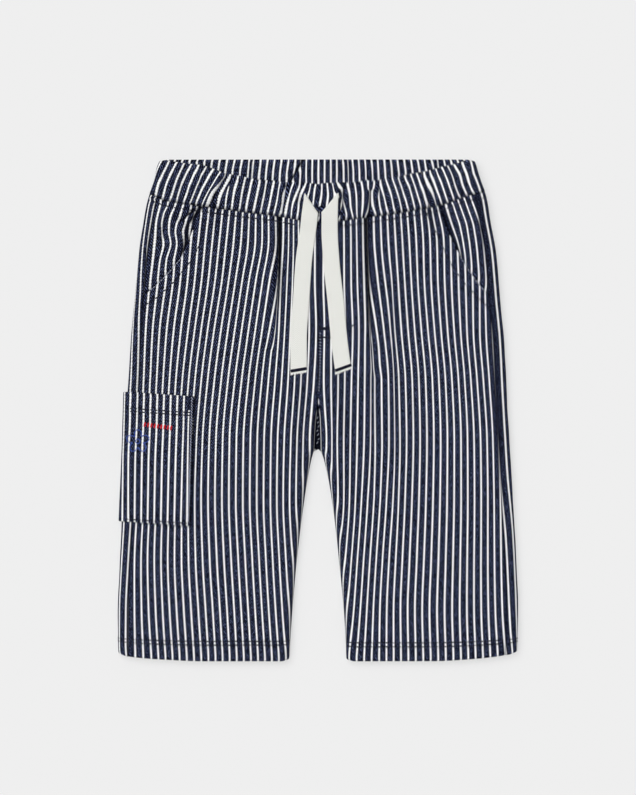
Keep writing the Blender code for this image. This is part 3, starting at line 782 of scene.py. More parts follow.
def hemmed(points, grain, outward):
    """The cloth with its lowest edge folded under and run back up inside."""
    normals = grid_normals(points, outward)
    down = points[-1] - points[-2]
    down /= np.linalg.norm(down, axis=1, keepdims=True)
    rows, grains = [points], [grain]
    for part in (0.25, 0.5, 0.75, 1.0):
        angle = part * math.pi
        rows.append(turned(points[-1:], normals[-1:], down, angle, HEM_FOLD))
        grains.append((grain[-1] - [0.0, HEM_FOLD * angle, 0.0])[None])
    for depth in (2, 4, 6, 8):
        back = -1 - depth
        rows.append((points[back] - normals[back] * 2.0 * HEM_FOLD)[None])
        grains.append((grain[back] * [1.0, -1.0, 1.0] + grain[-1] * [0.0, 2.0, 0.0])[None])
    return cloth_of(np.concatenate(rows), np.concatenate(grains), outward)


def front_outer(side, y):
    """Distance of the front's outer edge: the pocket's slant, then the side seam."""
    seam = seam_out(side, y) - SEAM_GAP / 2
    slant = np.minimum(seam, POCKET_X[side](y))
    return mix(seam, slant, smooth((y - POCKET_END_Y) / 1.5))


def front_inner(side, y, part):
    """(distance out, height) on the roll along the inner leg: part 1 is on the flat."""
    full = math.pi / 2 * smooth((FORK_Y + 2.0 - y) / 20.0)
    parted = np.clip((FORK_Y - y) / (FORK_Y - CROTCH_Y), 0.0, 1.0) ** 0.6
    meeting = side * CENTRE_X + SEAM_GAP / 2
    leg = INNER_X[side](np.minimum(y, CROTCH_Y)) + CLOTH / 2
    end = np.where(y > CROTCH_Y, mix(meeting, leg, parted), leg)
    top = front_z(side * end, y)
    drop = top - INSEAM_Z - SEAM_GAP / 2
    angle = full * (1.0 - part)
    spread = INNER_ROLL * (np.sin(full) - np.sin(angle))
    flat = INNER_ROLL * (1.0 - np.sin(full)) * part
    return end + spread + flat, top - drop * (1.0 - np.cos(angle))


def painted_front_shade(side, x, y):
    """Painted shade: dark lines in the folds and seams, and the cargo pocket's painted shadow."""
    below = SEAM_LINE(x) - y
    shade = darkest(
        painted_fold_shade(FRONT_CREASES, x, y),
        0.7 * bell(below, 0.9),
        0.3 * bell(below - WAIST_STITCH_DOWN, 0.6),
        0.6 * bell(x - CENTRE_X, 0.8) * seat(y),
        0.8 * bell(seam_out(side, y) - side * x, 0.9),
    )
    if side == RIGHT:
        return shade
    beside = x + cargo_front_out(y)
    top_y = cargo_line(cargo_front_out(y), CARGO_TOP_Y)
    low_y = cargo_line(-x, CARGO_LOW_Y)
    within = smooth(top_y - y) * smooth(y - low_y + 1.0)
    # The cargo pocket's painted shadow on the front, beside its inner edge and below its lower edge
    return darkest(
        shade,
        0.85 * bell(beside - 0.6, 1.5) * within,
        0.6 * bell(low_y - 0.6 - y, 0.8) * smooth(1.0 - beside),
    )


def front_cloth(side):
    parts = np.linspace(0.0, 1.0, ROLL_COLUMNS)[None, :-1]
    shares = np.linspace(0.0, 1.0, FRONT_COLUMNS)[None, :]
    roll, roll_y = settle(side, LEVELS, lambda y: front_inner(side, y, parts)[0])
    roll_z = front_inner(side, roll_y, parts)[1]
    out, y = settle(
        side, LEVELS, lambda y: mix(front_inner(side, y, 1.0)[0], front_outer(side, y), shares))
    z = front_z(side * out, y)
    z = z + seam_dip(front_outer(side, y) - out) * smooth((POCKET_END_Y - y) / 6.0)
    z = z + waist_dip(side * out, y)
    z = z + seam_dip(np.abs(side * out - CENTRE_X), 0.5, 1.0) * seat(y)
    points = joined([(side * roll, roll_y, roll_z), (side * out, y, z)])
    x, y = points[..., 0], points[..., 1]
    number = stripe_number(LEG_STRIPES[side], LEG_HEIGHTS, x, y, creases=FRONT_CREASES)
    run_on(number, side * column_steps(points) / STRIPE_PITCH, roll.shape[1], 0)
    grain = stacked(number, along_cloth(x, y, BODY_LEAN(y)), painted_front_shade(side, x, y))
    return hemmed(points, grain, -side)


# ---- Hip pieces behind the slanted pockets ----

def hip_cloth(side):
    level = np.linspace(BODY_TOP, HIP_PIECE_LOW_Y, HIP_ROWS)[:, None]
    shares = np.linspace(0.0, 1.0, HIP_COLUMNS)[None, :]

    def out_of(y):
        end = seam_out(side, y) - SEAM_GAP
        start = np.minimum(POCKET_X[side](y), end - 3.0) - HIP_PIECE_UNDER
        return mix(start, end, shares)

    out, y = settle(side, level, out_of)
    beyond = (out - POCKET_X[side](y)) * 0.8
    gape = POCKET_GAPE[side] * smooth((y - 100.0) / 20.0) * smooth((150.0 - y) / 16.0)
    rise = (CLOTH + HIP_PIECE_GAP) * smooth((beyond - gape) / 2.6)
    sink = -0.9 * gape / POCKET_GAPE[RIGHT] * bell(beyond - gape * 0.4, 2.0)
    z = front_z(side * out, y) - CLOTH - HIP_PIECE_GAP + rise + sink
    z = z + seam_dip(seam_out(side, y) - out) + waist_dip(side * out, y)
    number = stripe_number(HIP_STRIPES[side], HIP_HEIGHTS, side * out, y)
    # Painted shade: dark in the slanted pocket's gape, in the folds and along the seams
    depth = mix(0.5, 1.0, np.clip(gape, 0.0, 1.0))
    shade = darkest(
        depth * bell(beyond - 0.2 * gape, 0.9 + 0.25 * gape),
        painted_fold_shade(FRONT_CREASES, side * out, y),
        0.7 * bell(SEAM_LINE(side * out) - y, 0.9),
        0.7 * bell(seam_out(side, y) - out, 0.7),
    )
    grain = stacked(number, along_cloth(out, y, BODY_LEAN(y)), shade)
    return cloth_of(stacked(side * out, y, z), grain, -side)


# ---- Backs, which come round the side folds on to the front ----

def back_inner(side, y, part):
    """(distance out, height) at the back's inner edge: a small lip along the legs."""
    flat_z = CLOTH / 2
    on_seat = side * CENTRE_X + SEAM_GAP / 2 + LIP_ROLL * part
    rise = INSEAM_Z - SEAM_GAP / 2 - flat_z
    angle = math.pi / 2 * part
    leg = INNER_X[side](y) + CLOTH / 2 + LIP_ROLL * (1 - np.cos(angle))
    lip = flat_z + rise * (1 - np.sin(angle))
    on_leg = smooth((CROTCH_Y - y) / 3.0)
    return np.where(y > CROTCH_Y, on_seat, leg), mix(flat_z, lip, on_leg)


def back_columns(side):
    """Columns of (distance out, y, height), from the side seam round to the seat."""
    half, start = HALF_WIDTH[side], SIDE_ROLL + CLOTH / 2
    for share in np.linspace(0.0, 1.0, SIDE_FLATS):
        out, y = settle(side, LEVELS, lambda y: half(y) - mix(
            SIDE_SEAM_IN[side](y) - SEAM_GAP / 2, start + 0.6, share))
        dip = seam_dip(seam_out(side, y) - out) + waist_dip(side * out, y)
        yield out, y, front_z(side * out, y) + dip
    for angle in FOLD_ANGLES:
        out, y = settle(side, LEVELS, lambda y: side_fold(side, y, angle)[0], beneath(angle))
        out, z = side_fold(side, y, angle, lift=cargo_lift(side, half(y), y))
        bulge = 0.35 * patchy(angle * 3.0 + 20.0 * side, y, 13.0, 11) * math.cos(angle)
        yield out + bulge, y, z + waist_dip(side * out, y) * max(0.0, math.sin(angle))
    for share in np.linspace(0.03, 1.0, BACK_COLUMNS):
        out, y = settle(side, LEVELS, lambda y: mix(
            half(y) - start, back_inner(side, y, 1.0)[0] + 0.3, share), 1.0)
        dent = 0.8 * np.clip(patchy(side * out, y * 0.3, 17.0, 21), 0.0, 1.0)
        fade = smooth(share / 0.1) * smooth((1.0 - share) / 0.1)
        yield out, y, CLOTH / 2 + cargo_lift(side, out, y) + dent * fade
    for part in (0.8, 0.55, 0.3, 0.1, 0.0):
        out, y = settle(side, LEVELS, lambda y: back_inner(side, y, part)[0], 1.0)
        yield out, y, back_inner(side, y, part)[1]


def back_cloth(side):
    """Its stripes are counted from the side seam, round the fold and on to the seat."""
    points = joined(back_columns(side)) * [side, 1, 1]
    x, y = points[..., 0], points[..., 1]
    arc = np.pad(np.cumsum(column_steps(points), axis=1), ((0, 0), (1, 0)))
    first, second = (place(y) for place in SIDE_STRIPES[side])
    past = 1 + (arc - second) / SIDE_PITCH[side]
    number = np.where(arc < second, (arc - first) / (second - first), past)
    under = [SIDE_FLATS + FOLD_TURNS]
    share = (arc - arc[:, under]) / (arc[:, -1:] - arc[:, under])
    inset = side * (x[:, -1:] - CENTRE_X) / STRIPE_PITCH
    number = np.where(share > 0.0, mix(number[:, under], BACK_STRIPES - inset, share), number)
    # Painted shade along the side seam, reaching wider on the right leg's upper part
    dark_width = 0.8 + 2.2 * (side == RIGHT) * smooth((y + 60.0) / 40.0)
    shade = 0.6 * bell(arc, dark_width)
    grain = stacked(side * number, along_cloth(x, y, BODY_LEAN(y)), shade)
    return hemmed(points, grain, -side)


# ---- The waistband ----

def band_face(y):
    return FRONT_FACE(y) + BAND_PROUD


def band_y(x, down, under=0.0):
    """A line across the waistband, from its upper edge at down 0 to its seam at down 1."""
    ripple = 0.55 * patchy(x, 0.0, 5.5, 31) * (1.0 - down) * (1.0 - under)
    top = mix(TOP_LINE(x), TOP_Y, smooth(np.asarray(under, float))) - BAND_INSET + ripple
    return mix(top, seam_y(x, under) + WAIST_GAP / 2 + BAND_INSET * 0.5, down)


def crown(down):
    """The casing is a soft tube of cloth and elastic: lower along its two edges."""
    return 1.5 * np.abs(2 * down - 1) ** 4


def band_fold(side, angle, down):
    """(distance out, y, height) on the waistband's side fold."""
    out = HALF_WIDTH[side](TOP_Y)
    for _ in range(4):
        y = band_y(side * out, down, beneath(angle))
        out, z = side_fold(side, y, angle, BAND_THICK, band_face(y))
    return out, y, z - crown(down) * max(0.0, math.sin(angle))


def band_relief(creases, x, y, down):
    """Creases and the close, uneven gathers that the elastic makes."""
    free = smooth(down / 0.12) * smooth((1.0 - down) / 0.1)
    gathers = 0.55 * patchy(x, y * 0.1, 5.2, 41) + 0.3 * patchy(x, y * 0.25, 2.6, 43)
    return crease_relief(creases, x, y) * (0.35 + 0.65 * free) + gathers * (0.45 + 0.55 * free)


def band_half(side, face, down, flats):
    """Columns of (x, y, z) from the side fold's outermost place to the middle."""
    columns = []
    for turn in np.linspace(0.02, 1.0, BAND_TURNS):
        out, y, z = band_fold(side, face * math.pi / 2 * turn, down)
        columns.append((side * out, y, z))
    edge = np.abs(columns[-1][0])
    for share in np.linspace(1.0, 0.0, flats)[1:]:
        x = side * share * edge
        y = band_y(x, down, float(face < 0))
        top = band_face(y) - BAND_THICK / 2 - crown(down)
        columns.append((x, y, top if face > 0 else BAND_THICK / 2))
    return columns


def band_cloth(face, creases, stripes, flats):
    """Half of the ring: face 1 is the front and -1 the back."""
    down = np.linspace(0.0, 1.0, BAND_ROWS)[:, None]
    left, right = (band_half(side, face, down, flats) for side in SIDES)
    points = joined(left + right[-2::-1])
    x, y = points[..., 0], points[..., 1]
    relief = band_relief(creases, x, y, down)
    if face < 0:
        relief = np.clip(relief, 0.0, 1.2)
    points[..., 2] += relief * smooth((HALF_WIDTH[LEFT](y) - np.abs(x)) / 9.0)
    number = stripe_number(stripes, BAND_SHARES, x, y, down, creases)
    steps = np.maximum(np.diff(number, axis=1), column_steps(points) / STRIPE_PITCH)
    count = number.shape[1]
    run_on(number, steps, BAND_TURNS - 1, 0)
    run_on(number, steps, count - BAND_TURNS, count - 1)
    # Painted shade in the folds and along the waist seam
    to_seam = (1.0 - down) * (TOP_LINE(x) - SEAM_LINE(x))
    shade = darkest(painted_fold_shade(creases, x, y), 0.6 * bell(to_seam, 1.0))
    return cloth_of(points, stacked(number, along_cloth(x, y, BAND_LEAN), shade), -face)


# ---- The cargo pocket ----

def cargo_columns(fold_y, down):
    """Columns of (distance out, y, height) on the front, round the fold and on the back."""
    off = CLOTH + LIE_GAP
    gape = 0.9 * (1.0 - down) ** 2
    front_out = mix(CARGO_FRONT_TOP_X, CARGO_FRONT_LOW_X, down)
    start = HALF_WIDTH[LEFT](fold_y) - CLOTH / 2 - SIDE_ROLL
    for share in np.linspace(0.0, 1.0, CARGO_FLATS)[:-1]:
        out = mix(front_out, start, share)
        y = cargo_line(out, fold_y)
        low = y - cargo_line(out, CARGO_LOW_Y)
        edge = seam_dip(out - front_out, 0.55, 1.0) + seam_dip(low, 0.5, 1.0)
        yield out, y, front_z(-out, y) + off + gape * 0.5 + 0.25 + edge
    for angle in FOLD_ANGLES:
        y = cargo_line(side_fold(LEFT, fold_y, angle, lift=off)[0], fold_y)
        out, z = side_fold(LEFT, y, angle, lift=off)
        push = (off + gape * 0.5 + 1.0) * smooth(1.0 + angle / 0.9)
        yield out + push * math.cos(angle), y, z + push * max(0.0, math.sin(angle))
    for share in np.linspace(0.0, 1.0, CARGO_UNDER)[1:]:
        out = mix(start, CARGO_BACK_X, share)
        yield out, cargo_line(out, fold_y), CLOTH / 2


def cargo_cloth():
    """It lies on the left leg. The turned-in corner of its hem is plain navy: shade -1."""
    down = np.linspace(0.0, 1.0, CARGO_ROWS)[:, None]
    fold_y = mix(CARGO_TOP_Y - CLOTH / 2, CARGO_LOW_Y, down)
    points = joined(cargo_columns(fold_y, down)) * [LEFT, 1, 1]
    x, y = points[..., 0], points[..., 1]
    number = stripe_number(CARGO_STRIPES, CARGO_HEIGHTS, x, y)
    run_on(number, -column_steps(points) / STRIPE_PITCH, CARGO_FLATS + CARGO_SEEN, x.shape[1] - 1)
    plain = (number > -2.8) & (number < -1.2) & (fold_y > CARGO_TOP_Y - CARGO_HEM)
    grain = stacked(number, along_cloth(x, y, BODY_LEAN(y)), np.where(plain, -1.0, 0.0))
    return cloth_of(points, grain, 1)


# ---- Stitches ----

def run_along(points):
    """The distance from the first of these points to each one, along them."""
    steps = np.linalg.norm(np.diff(points, axis=0), axis=1)
    return np.concatenate([[0.0], np.cumsum(steps)])


def along_path(path, spacing):
    """Points with their normals, at even distances along a path."""
    path = np.asarray(path, float)
    run = run_along(path[:, :3])
    places = np.linspace(0.0, run[-1], max(int(round(run[-1] / spacing)), 1) + 1)
    return np.stack([np.interp(places, run, path[:, axis]) for axis in range(6)], -1)


def stitches(name, paths, made_of, length=2.9, share=0.86, radius=0.46, lift=0.05):
    """Short rounded threads end to end along each path, as one mesh."""
    points, faces = [], []
    turns = [2 * math.pi * corner / STITCH_SIDES for corner in range(STITCH_SIDES)]
    for path in paths:
        stops = along_path(path, length)
        for start, end in zip(stops, stops[1:]):
            way = end[:3] - start[:3]
            side = np.cross(way, start[3:])
            side /= np.linalg.norm(side)
            up = np.cross(side, way) / np.linalg.norm(way)
            base = len(points)
            for at, wide, high in STITCH_RINGS:
                middle = start[:3] + way * (0.5 + (at - 0.5) * share) + up * (lift + high)
                for turn in turns:
                    ray = side * math.cos(turn) + up * math.sin(turn)
                    points.append(middle + ray * radius * wide)
            last = base + (len(STITCH_RINGS) - 1) * STITCH_SIDES
            for ring in range(base, last, STITCH_SIDES):
                for corner in range(STITCH_SIDES):
                    a, b = ring + corner, ring + (corner + 1) % STITCH_SIDES
                    faces.append((a, b, b + STITCH_SIDES, a + STITCH_SIDES))
            faces.append(tuple(range(base + STITCH_SIDES - 1, base - 1, -1)))
            faces.append(tuple(range(last, last + STITCH_SIDES)))
    return make_mesh(name, np.array(points), faces, None, made_of)


def sewn(name, paths, made_of, slot="striped_twill", **how):
    return finish_piece(stitches(name, paths, made_of, **how), slot)


class Ground:
    """The upper side of the pieces made so far, to lay threads on."""

    def __init__(self, pieces):
        self.trees = []
        for piece in pieces:
            corners = [vertex.co for vertex in piece.data.vertices]
            faces = [face.vertices for face in piece.data.polygons]
            self.trees.append(BVHTree.FromPolygons(corners, faces))

    def under(self, x, y):
        """(x, y, z and the normal) on the highest piece at this place, in millimetres."""
        start = Vector((x * MM, y * MM, 0.1))
        hits = [tree.ray_cast(start, -Vector(UP)) for tree in self.trees]
        hits = [hit for hit in hits if hit[0] is not None]
        spot, normal = max(hits, key=lambda hit: hit[0].z)[:2]
        return (x, y, spot.z / MM, *normal)

    def path(self, corners, smoothed, spacing):
        """A path over the pieces through these (x, y) corners."""
        corners = np.asarray(corners, float)
        run = run_along(corners)
        places = np.linspace(0.0, run[-1], max(int(run[-1] / spacing), 1) + 1)
        if smoothed:
            xs, ys = (curve(run, line)(places) for line in corners.T)
        else:
            xs, ys = (np.interp(places, run, line) for line in corners.T)
        return [self.under(x, y) for x, y in zip(xs, ys)]

    def sew(self, name, lines, made_of, smoothed=False, spacing=0.8, **how):
        """Stitches along lines of (x, y) corners, laid over the pieces."""
        paths = [self.path(line, smoothed, spacing) for line in lines]
        sewn(name, paths, made_of, **how)


def bar(start, end, height, pitch=0.4):
    """The close upright threads of a bar tack: (x, y) ends for each."""
    start, end = np.asarray(start, float), np.asarray(end, float)
    way = end - start
    length = np.linalg.norm(way)
    side = np.array([-way[1], way[0]]) / length * height / 2
    places = np.linspace(0.0, 1.0, int(length / pitch) + 1)
    return [(start + way * place - side, start + way * place + side) for place in places]


# ---- The drawstring ----

def tape_height(y):
    """Middle of the tape: on the waistband, then down its edge on to the front."""
    lie = LIE_GAP + TAPE_THICK / 2
    return mix(FRONT_FACE(y) + lie + 0.1, band_face(y) + lie, smooth((y - 122.0) / 14.0))


def tape_middle(tape, y):
    return curves(*tape.route)[0](y)


def tape_cloth(tape):
    """The tape comes out of its slit sideways and is folded down at a slant."""
    across = np.linspace(-0.5, 0.5, TAPE_COLUMNS)[None, :]
    along = np.linspace(0.0, 1.0, TAPE_ROWS)[:, None]
    start = tape.exit_y - TAPE_TURN * (0.5 + tape.toward * across)
    y = mix(start, tape.end_y + tape.slope * across, along)
    x = tape_middle(tape, y) + across * TAPE_WIDTH
    near_turn = smooth((y - (tape.exit_y - TAPE_TURN)) / TAPE_TURN)
    z = tape_height(y) + 0.5 * near_turn + 0.12 * patchy(x, y * 0.5, 9.0, 51)
    points, grain = stacked(x, y, z), stacked(across * TAPE_WIDTH, y, 0.0)
    rows, grains = [points], [grain]
    normals = grid_normals(points, -1)
    upwards = np.array([0.0, 1.0, 0.0])
    for part in (0.4, 0.75, 1.0):
        rows.insert(0, turned(points[:1], normals[:1], upwards, part * math.pi, TAPE_FOLD))
        grains.insert(0, grain[:1])
    rows.insert(0, rows[0] - np.array([tape.toward * 0.6, 2.0, 0.0]))
    grains.insert(0, grain[:1])
    return cloth_of(np.concatenate(rows), np.concatenate(grains), -1)


def tape_path(tape):
    """Its middle line, from where it leaves the waistband to its end."""
    y = mix(tape.exit_y - 1.0, tape.end_y, np.linspace(0.0, 1.0, 22))
    start = tape.exit_x + tape.toward * 1.2
    x = mix(start, tape_middle(tape, y), smooth((tape.exit_y - y) / TAPE_TURN))
    return [tuple(spot) for spot in (stacked(x, y, tape_height(y)) * MM).tolist()]


def fray(tape):
    """The tape's cut end: short loose threads below the sewn bar."""
    paths = []
    for share in np.linspace(-0.5, 0.5, 23):
        x = float(tape_middle(tape, tape.end_y)) + share * TAPE_WIDTH
        y = tape.end_y + tape.slope * share
        z = float(tape_height(y)) - 0.1
        reach = 1.6 + 0.4 * math.sin(share * 61.0)
        lean = 0.4 * math.sin(share * 37.0)
        paths.append([(x, y + 0.7, z, *UP), (x + lean, y + 0.7 - reach, z - 0.3, *UP)])
    return sewn("tape_fray_" + tape.side, paths, WHITE_THREAD, "cotton_tape", **TICK,
                radius=0.36, lift=0.3)


def end_bar(tape):
    """The dark bar of thread sewn across the tape's end."""
    middle = float(tape_middle(tape, tape.end_y))
    half, rise = TAPE_WIDTH / 2 - 0.1, tape.slope / 2
    low = (middle - half, tape.end_y - rise + 1.9)
    high = (middle + half, tape.end_y + rise + 1.9)
    paths = []
    for thread_ends in bar(low, high, 2.2):
        paths.append([(x, y, float(tape_height(y)) + TAPE_THICK / 2, *UP) for x, y in thread_ends])
    return sewn("tape_bar_" + tape.side, paths, NAVY_THREAD, "cotton_tape", **TICK,
                radius=0.34, lift=0.2)


# ---- Sewing ----

def hem_paths(cloth, heights_up):
    """Lines along the hem, at these distances above its edge."""
    face = cloth.points + cloth.normals * CLOTH / 2
    paths = []
    for height in heights_up:
        row = (BODY_TOP - HEM_Y - height) / (BODY_TOP - GRID_LOW) * (len(LEVELS) - 1)
        share, row = row % 1.0, int(row)
        line = mix(face[row], face[row + 1], share)
        underneath = np.clip(-cloth.normals[row][:, 2:], 0.0, 1.0)
        line = line - 0.3 * underneath * cloth.normals[row]
        paths.append(np.concatenate([line, cloth.normals[row]], axis=1)[2:-2])
    return paths


def waist_rows():
    """Topstitching just below the waist seam, on each side of the tapes."""
    rows = [np.linspace(*ends, 60) for ends in ((-117.0, -16.5), (15.0, 117.0))]
    return [np.stack([xs, SEAM_LINE(xs) - WAIST_STITCH_DOWN], -1) for xs in rows]


def pocket_edge_highlight(side):
    """A painted highlight: a pale thread along the slanted pocket's edge, where the folded edge
    catches the light.
    """
    return [[(side * (POCKET_X[side](y) + 0.15), y) for y in np.linspace(112.0, 84.0, 14)]]


def cargo_rows():
    """Stitches from near the pocket's inner edge to the side fold."""
    rows = []
    for fold_y in CARGO_STITCHES:
        shares = np.linspace(0.03, 1.0, 30)
        out = mix(cargo_front_out(fold_y), HALF_WIDTH[LEFT](fold_y) - 2.2, shares)
        rows.append(np.stack([-out, cargo_line(out, fold_y)], -1))
    return rows


def tick(x, y, half_wide, half_high):
    """A short thread that runs down to the right."""
    return [(x - half_wide, y + half_high), (x + half_wide, y - half_high)]


def cargo_edge():
    """The short slanting threads that show along the pocket's inner edge."""
    places = np.arange(CARGO_TOP_Y - 1.5, CARGO_LOW_Y + 3.0, -1.9)
    return [tick(-cargo_front_out(y) - 0.8, y - 3.3, 0.5, 1.0) for y in places]


def centre_ticks():
    """Short pale threads down the middle, between the fly's bar and the fork."""
    places = np.arange(54.0, FORK_Y + 3.0, -2.1)
    return [tick(0.6 + 0.9 * smooth((y - 12.0) / 24.0), y, 0.5, 0.4) for y in places]


def fly_tack():
    """The thick bar tack at the foot of the mock fly."""
    return bar((0.6, 57.4), (10.2, 57.2), 2.2)


def fly_line():
    """The thin bar below it."""
    return bar((1.0, 51.3), (9.9, 50.9), 1.2)


def fly_curve():
    """What shows of the curved row beside the right tape."""
    return [[(18.6, 62.0), (20.6, 63.8)], [(23.4, 58.6), (25.4, 60.4)], [(20.0, 54.6), (21.6, 56.4)]]


def inside_seam():
    """The seam edges that show deep between the legs, where the fronts part: dark with painted shade,
    but for a pale stripe near their top.
    """
    y = np.linspace(FORK_Y + 1.0, CROTCH_Y + 0.6, 20)[:, None]
    across = np.linspace(-1.0, 1.0, 9)[None, :]
    x = CENTRE_X + across * (0.9 + 2.2 * (FORK_Y - y) / (FORK_Y - CROTCH_Y))
    pale = smooth((y - FORK_Y + 9.0) / 4.0) * bell(across - 0.5, 0.8)
    z = 4.6 + 0.8 * np.cos(across * 3.0) + 0.5 * patchy(x * 2.0, y, 2.4, 61) + 4.6 * pale
    # Painted shade over the strip, except the pale stripe near its top
    grain = stacked((0.5 + 0.2 * across) * (1.0 - pale), y, 0.93 * (1.0 - pale))
    made = shell("inside_seam", cloth_of(stacked(x, y, z), grain, -1), 0.8, TWILL)
    return finish_piece(made, "striped_twill")


def inside_threads():
    """Loose pale threads that catch the light inside the gap."""
    lines = []
    for place in range(7):
        x, y = CENTRE_X - 1.5 + 0.5 * (place % 3), -6.0 - 2.9 * place
        lines.append([(x, y, 6.4, *UP), (x + 1.3, y + 1.6 - 0.5 * (place % 2), 6.4, *UP)])
    return lines


def flower():
    """A small embroidered flower: its petals' outline and its middle."""
    turns = np.linspace(0.0, 2 * math.pi, 121)
    petals = FLOWER_SIZE * (0.42 + 0.58 * np.abs(np.cos(turns * PETALS / 2)) ** 0.8)
    return [np.stack([FLOWER_X + reach * np.sin(turns), FLOWER_Y + reach * np.cos(turns)], -1)
            for reach in (petals, 1.7)]


def red_row():
    """Short thick stitches in a straight row."""
    lines = []
    for place in range(9):
        x, y = -121.5 + 2.3 * place, -11.4 - 0.3 * place
        lines.append([(x, y), (x + 0.7, y + 3.2)])
    return lines


# ---- Materials ----

class Nodes:
    """Adds nodes to a tree, one short call each."""

    def __init__(self, tree):
        self.tree = tree

    def put(self, socket, value):
        if isinstance(value, bpy.types.NodeSocket):
            self.tree.links.new(value, socket)
        else:
            socket.default_value = value

    def add(self, kind, inputs, output=0, **settings):
        """A node of this kind, with its inputs filled; gives one of its outputs."""
        node = self.tree.nodes.new("ShaderNode" + kind)
        for name, value in settings.items():
            setattr(node, name, value)
        for key, value in inputs.items():
            self.put(node.inputs[key], value)
        return node.outputs[output]

    def grain(self):
        """The cloth's own coordinates, in two sockets: across and along."""
        place = self.add("UVMap", {}, uv_map="grain")
        return [self.add("SeparateXYZ", {0: place}, axis) for axis in ("X", "Y")]

    def maths(self, operation, *values):
        return self.add("Math", dict(enumerate(values)), operation=operation)

    def weighted(self, *pairs):
        """The sum of each value times its weight."""
        total = 0.0
        for value, weight in pairs:
            total = self.maths("MULTIPLY_ADD", value, weight, total)
        return total

    def blend(self, share, low, high):
        return self.add("Mix", {0: share, 6: low, 7: high}, 2, data_type="RGBA")

    def step(self, value, low, high):
        """Rises smoothly from 0 at low to 1 at high."""
        return self.add("MapRange", {"Value": value, "From Min": low, "From Max": high},
                        interpolation_type="SMOOTHSTEP")

    def noise(self, vector, scale, detail=2.0):
        return self.add("TexNoise", {"Vector": vector, "Scale": scale, "Detail": detail}, "Fac")

    def seen(self):
        """1 for rays straight from the camera, to set how the backdrop looks to it."""
        return self.add("LightPath", {}, "Is Camera Ray")


class Paint(Nodes):
    """A material with the usual shader."""

    def __init__(self, name, roughness, specular=0.2):
        self.made = bpy.data.materials.new(name)
        self.made.use_nodes = True
        super().__init__(self.made.node_tree)
        self.shader = self.tree.nodes["Principled BSDF"].inputs
        self.shader["Roughness"].default_value = roughness
        self.shader["Specular IOR Level"].default_value = specular

    def colour(self, value):
        self.put(self.shader["Base Color"], value)

    def bump(self, height, distance, strength):
        inputs = {"Height": height, "Distance": distance, "Strength": strength}
        self.put(self.shader["Normal"], self.add("Bump", inputs, "Normal"))


def striped_twill(name, half):
    """Navy twill with white stripes, `half` wide to each side; its ribs run down to the right. The
    cloth's shade value paints shade into its colour.
    """
    paint = Paint(name, 0.85, specular=0.05)
    stripe, along = paint.grain()
    across = paint.maths("MULTIPLY", stripe, STRIPE_PITCH)
    flat = paint.add("CombineXYZ", {"X": across, "Y": along})
    stretched = paint.add("CombineXYZ", {"X": across, "Y": paint.maths("MULTIPLY", along, 0.6)})
    wander = paint.noise(flat, 0.16, 3.0)
    fine = paint.noise(flat, 1.6, 1.0)
    speckle = paint.noise(stretched, 1.35, 2.0)
    rib = paint.weighted((across, 1.0 / TWILL_ACROSS), (along, 1.0 / TWILL_ALONG), (wander, 0.9),
                         (fine, 0.5))
    wave = paint.maths("SINE", paint.maths("MULTIPLY", rib, 2 * math.pi))
    centred = paint.maths("FRACT", paint.maths("ADD", stripe, 0.5))
    from_stripe = paint.maths("ABSOLUTE", paint.maths("SUBTRACT", centred, 0.5))
    inside = paint.weighted((wave, 0.12), (fine, 0.5), (from_stripe, -STRIPE_PITCH))
    inside = paint.step(inside, 0.25 - half - 0.14, 0.25 - half + 0.14)
    patch = paint.weighted((paint.step(speckle, 0.44, 0.58), 0.9), (1.0, 0.1))
    middle = paint.weighted((paint.step(from_stripe, 0.16, 0.34), 0.45), (1.0, 0.55))
    fleck = paint.maths("MULTIPLY", paint.step(wave, 0.3, 1.0), paint.maths("MULTIPLY", patch, middle))
    navy = paint.blend(fleck, NAVY_DARK, NAVY_LIGHT)
    dim = paint.maths("MULTIPLY", paint.step(wave, 0.1, 1.0), paint.step(fine, 0.35, 0.7))
    white = paint.blend(paint.maths("MULTIPLY", dim, 0.5), STRIPE_WHITE, STRIPE_GREY)
    # Painted shade: the shade attribute darkens the colour towards the painted shade colour; below 0
    # it hides the white stripes, for plain navy
    shade = paint.add("Attribute", {}, "Fac", attribute_name="shade")
    inside = paint.maths("MULTIPLY", inside, paint.step(shade, -0.7, -0.3))
    cloth = paint.blend(inside, navy, white)
    paint.colour(paint.blend(shade, cloth, PAINTED_SHADE_COLOUR))
    paint.bump(paint.weighted((wave, 0.5), (fine, 0.8)), 0.12 * MM, 0.5)
    return paint.made


def cotton_tape():
    """Off-white herringbone tape."""
    paint = Paint("cotton_tape", 0.85)
    across, along = paint.grain()
    folded = paint.maths("PINGPONG", across, 2.0)
    wave = paint.maths("SINE", paint.weighted((folded, 5.2), (along, 4.2)))
    fine = paint.noise(paint.add("CombineXYZ", {"X": across, "Y": along}), 1.6)
    shade = paint.weighted((wave, 0.22), (fine, 0.6))
    light = paint.step(shade, -0.1, 0.7)
    paint.colour(paint.blend(light, linear(214, 215, 208), linear(250, 250, 246)))
    paint.bump(shade, 0.15 * MM, 0.6)
    return paint.made


def thread(name, colour, deep=0.6):
    """Sewing thread with a fine twist."""
    paint = Paint(name, 0.6)
    twist = paint.noise(paint.add("TexCoord", {}, "Object"), 2200.0, 1.0)
    darker = tuple(part * deep for part in colour[:3]) + (1.0,)
    paint.colour(paint.blend(twist, darker, colour))
    paint.bump(twist, 0.08 * MM, 0.5)
    return paint.made


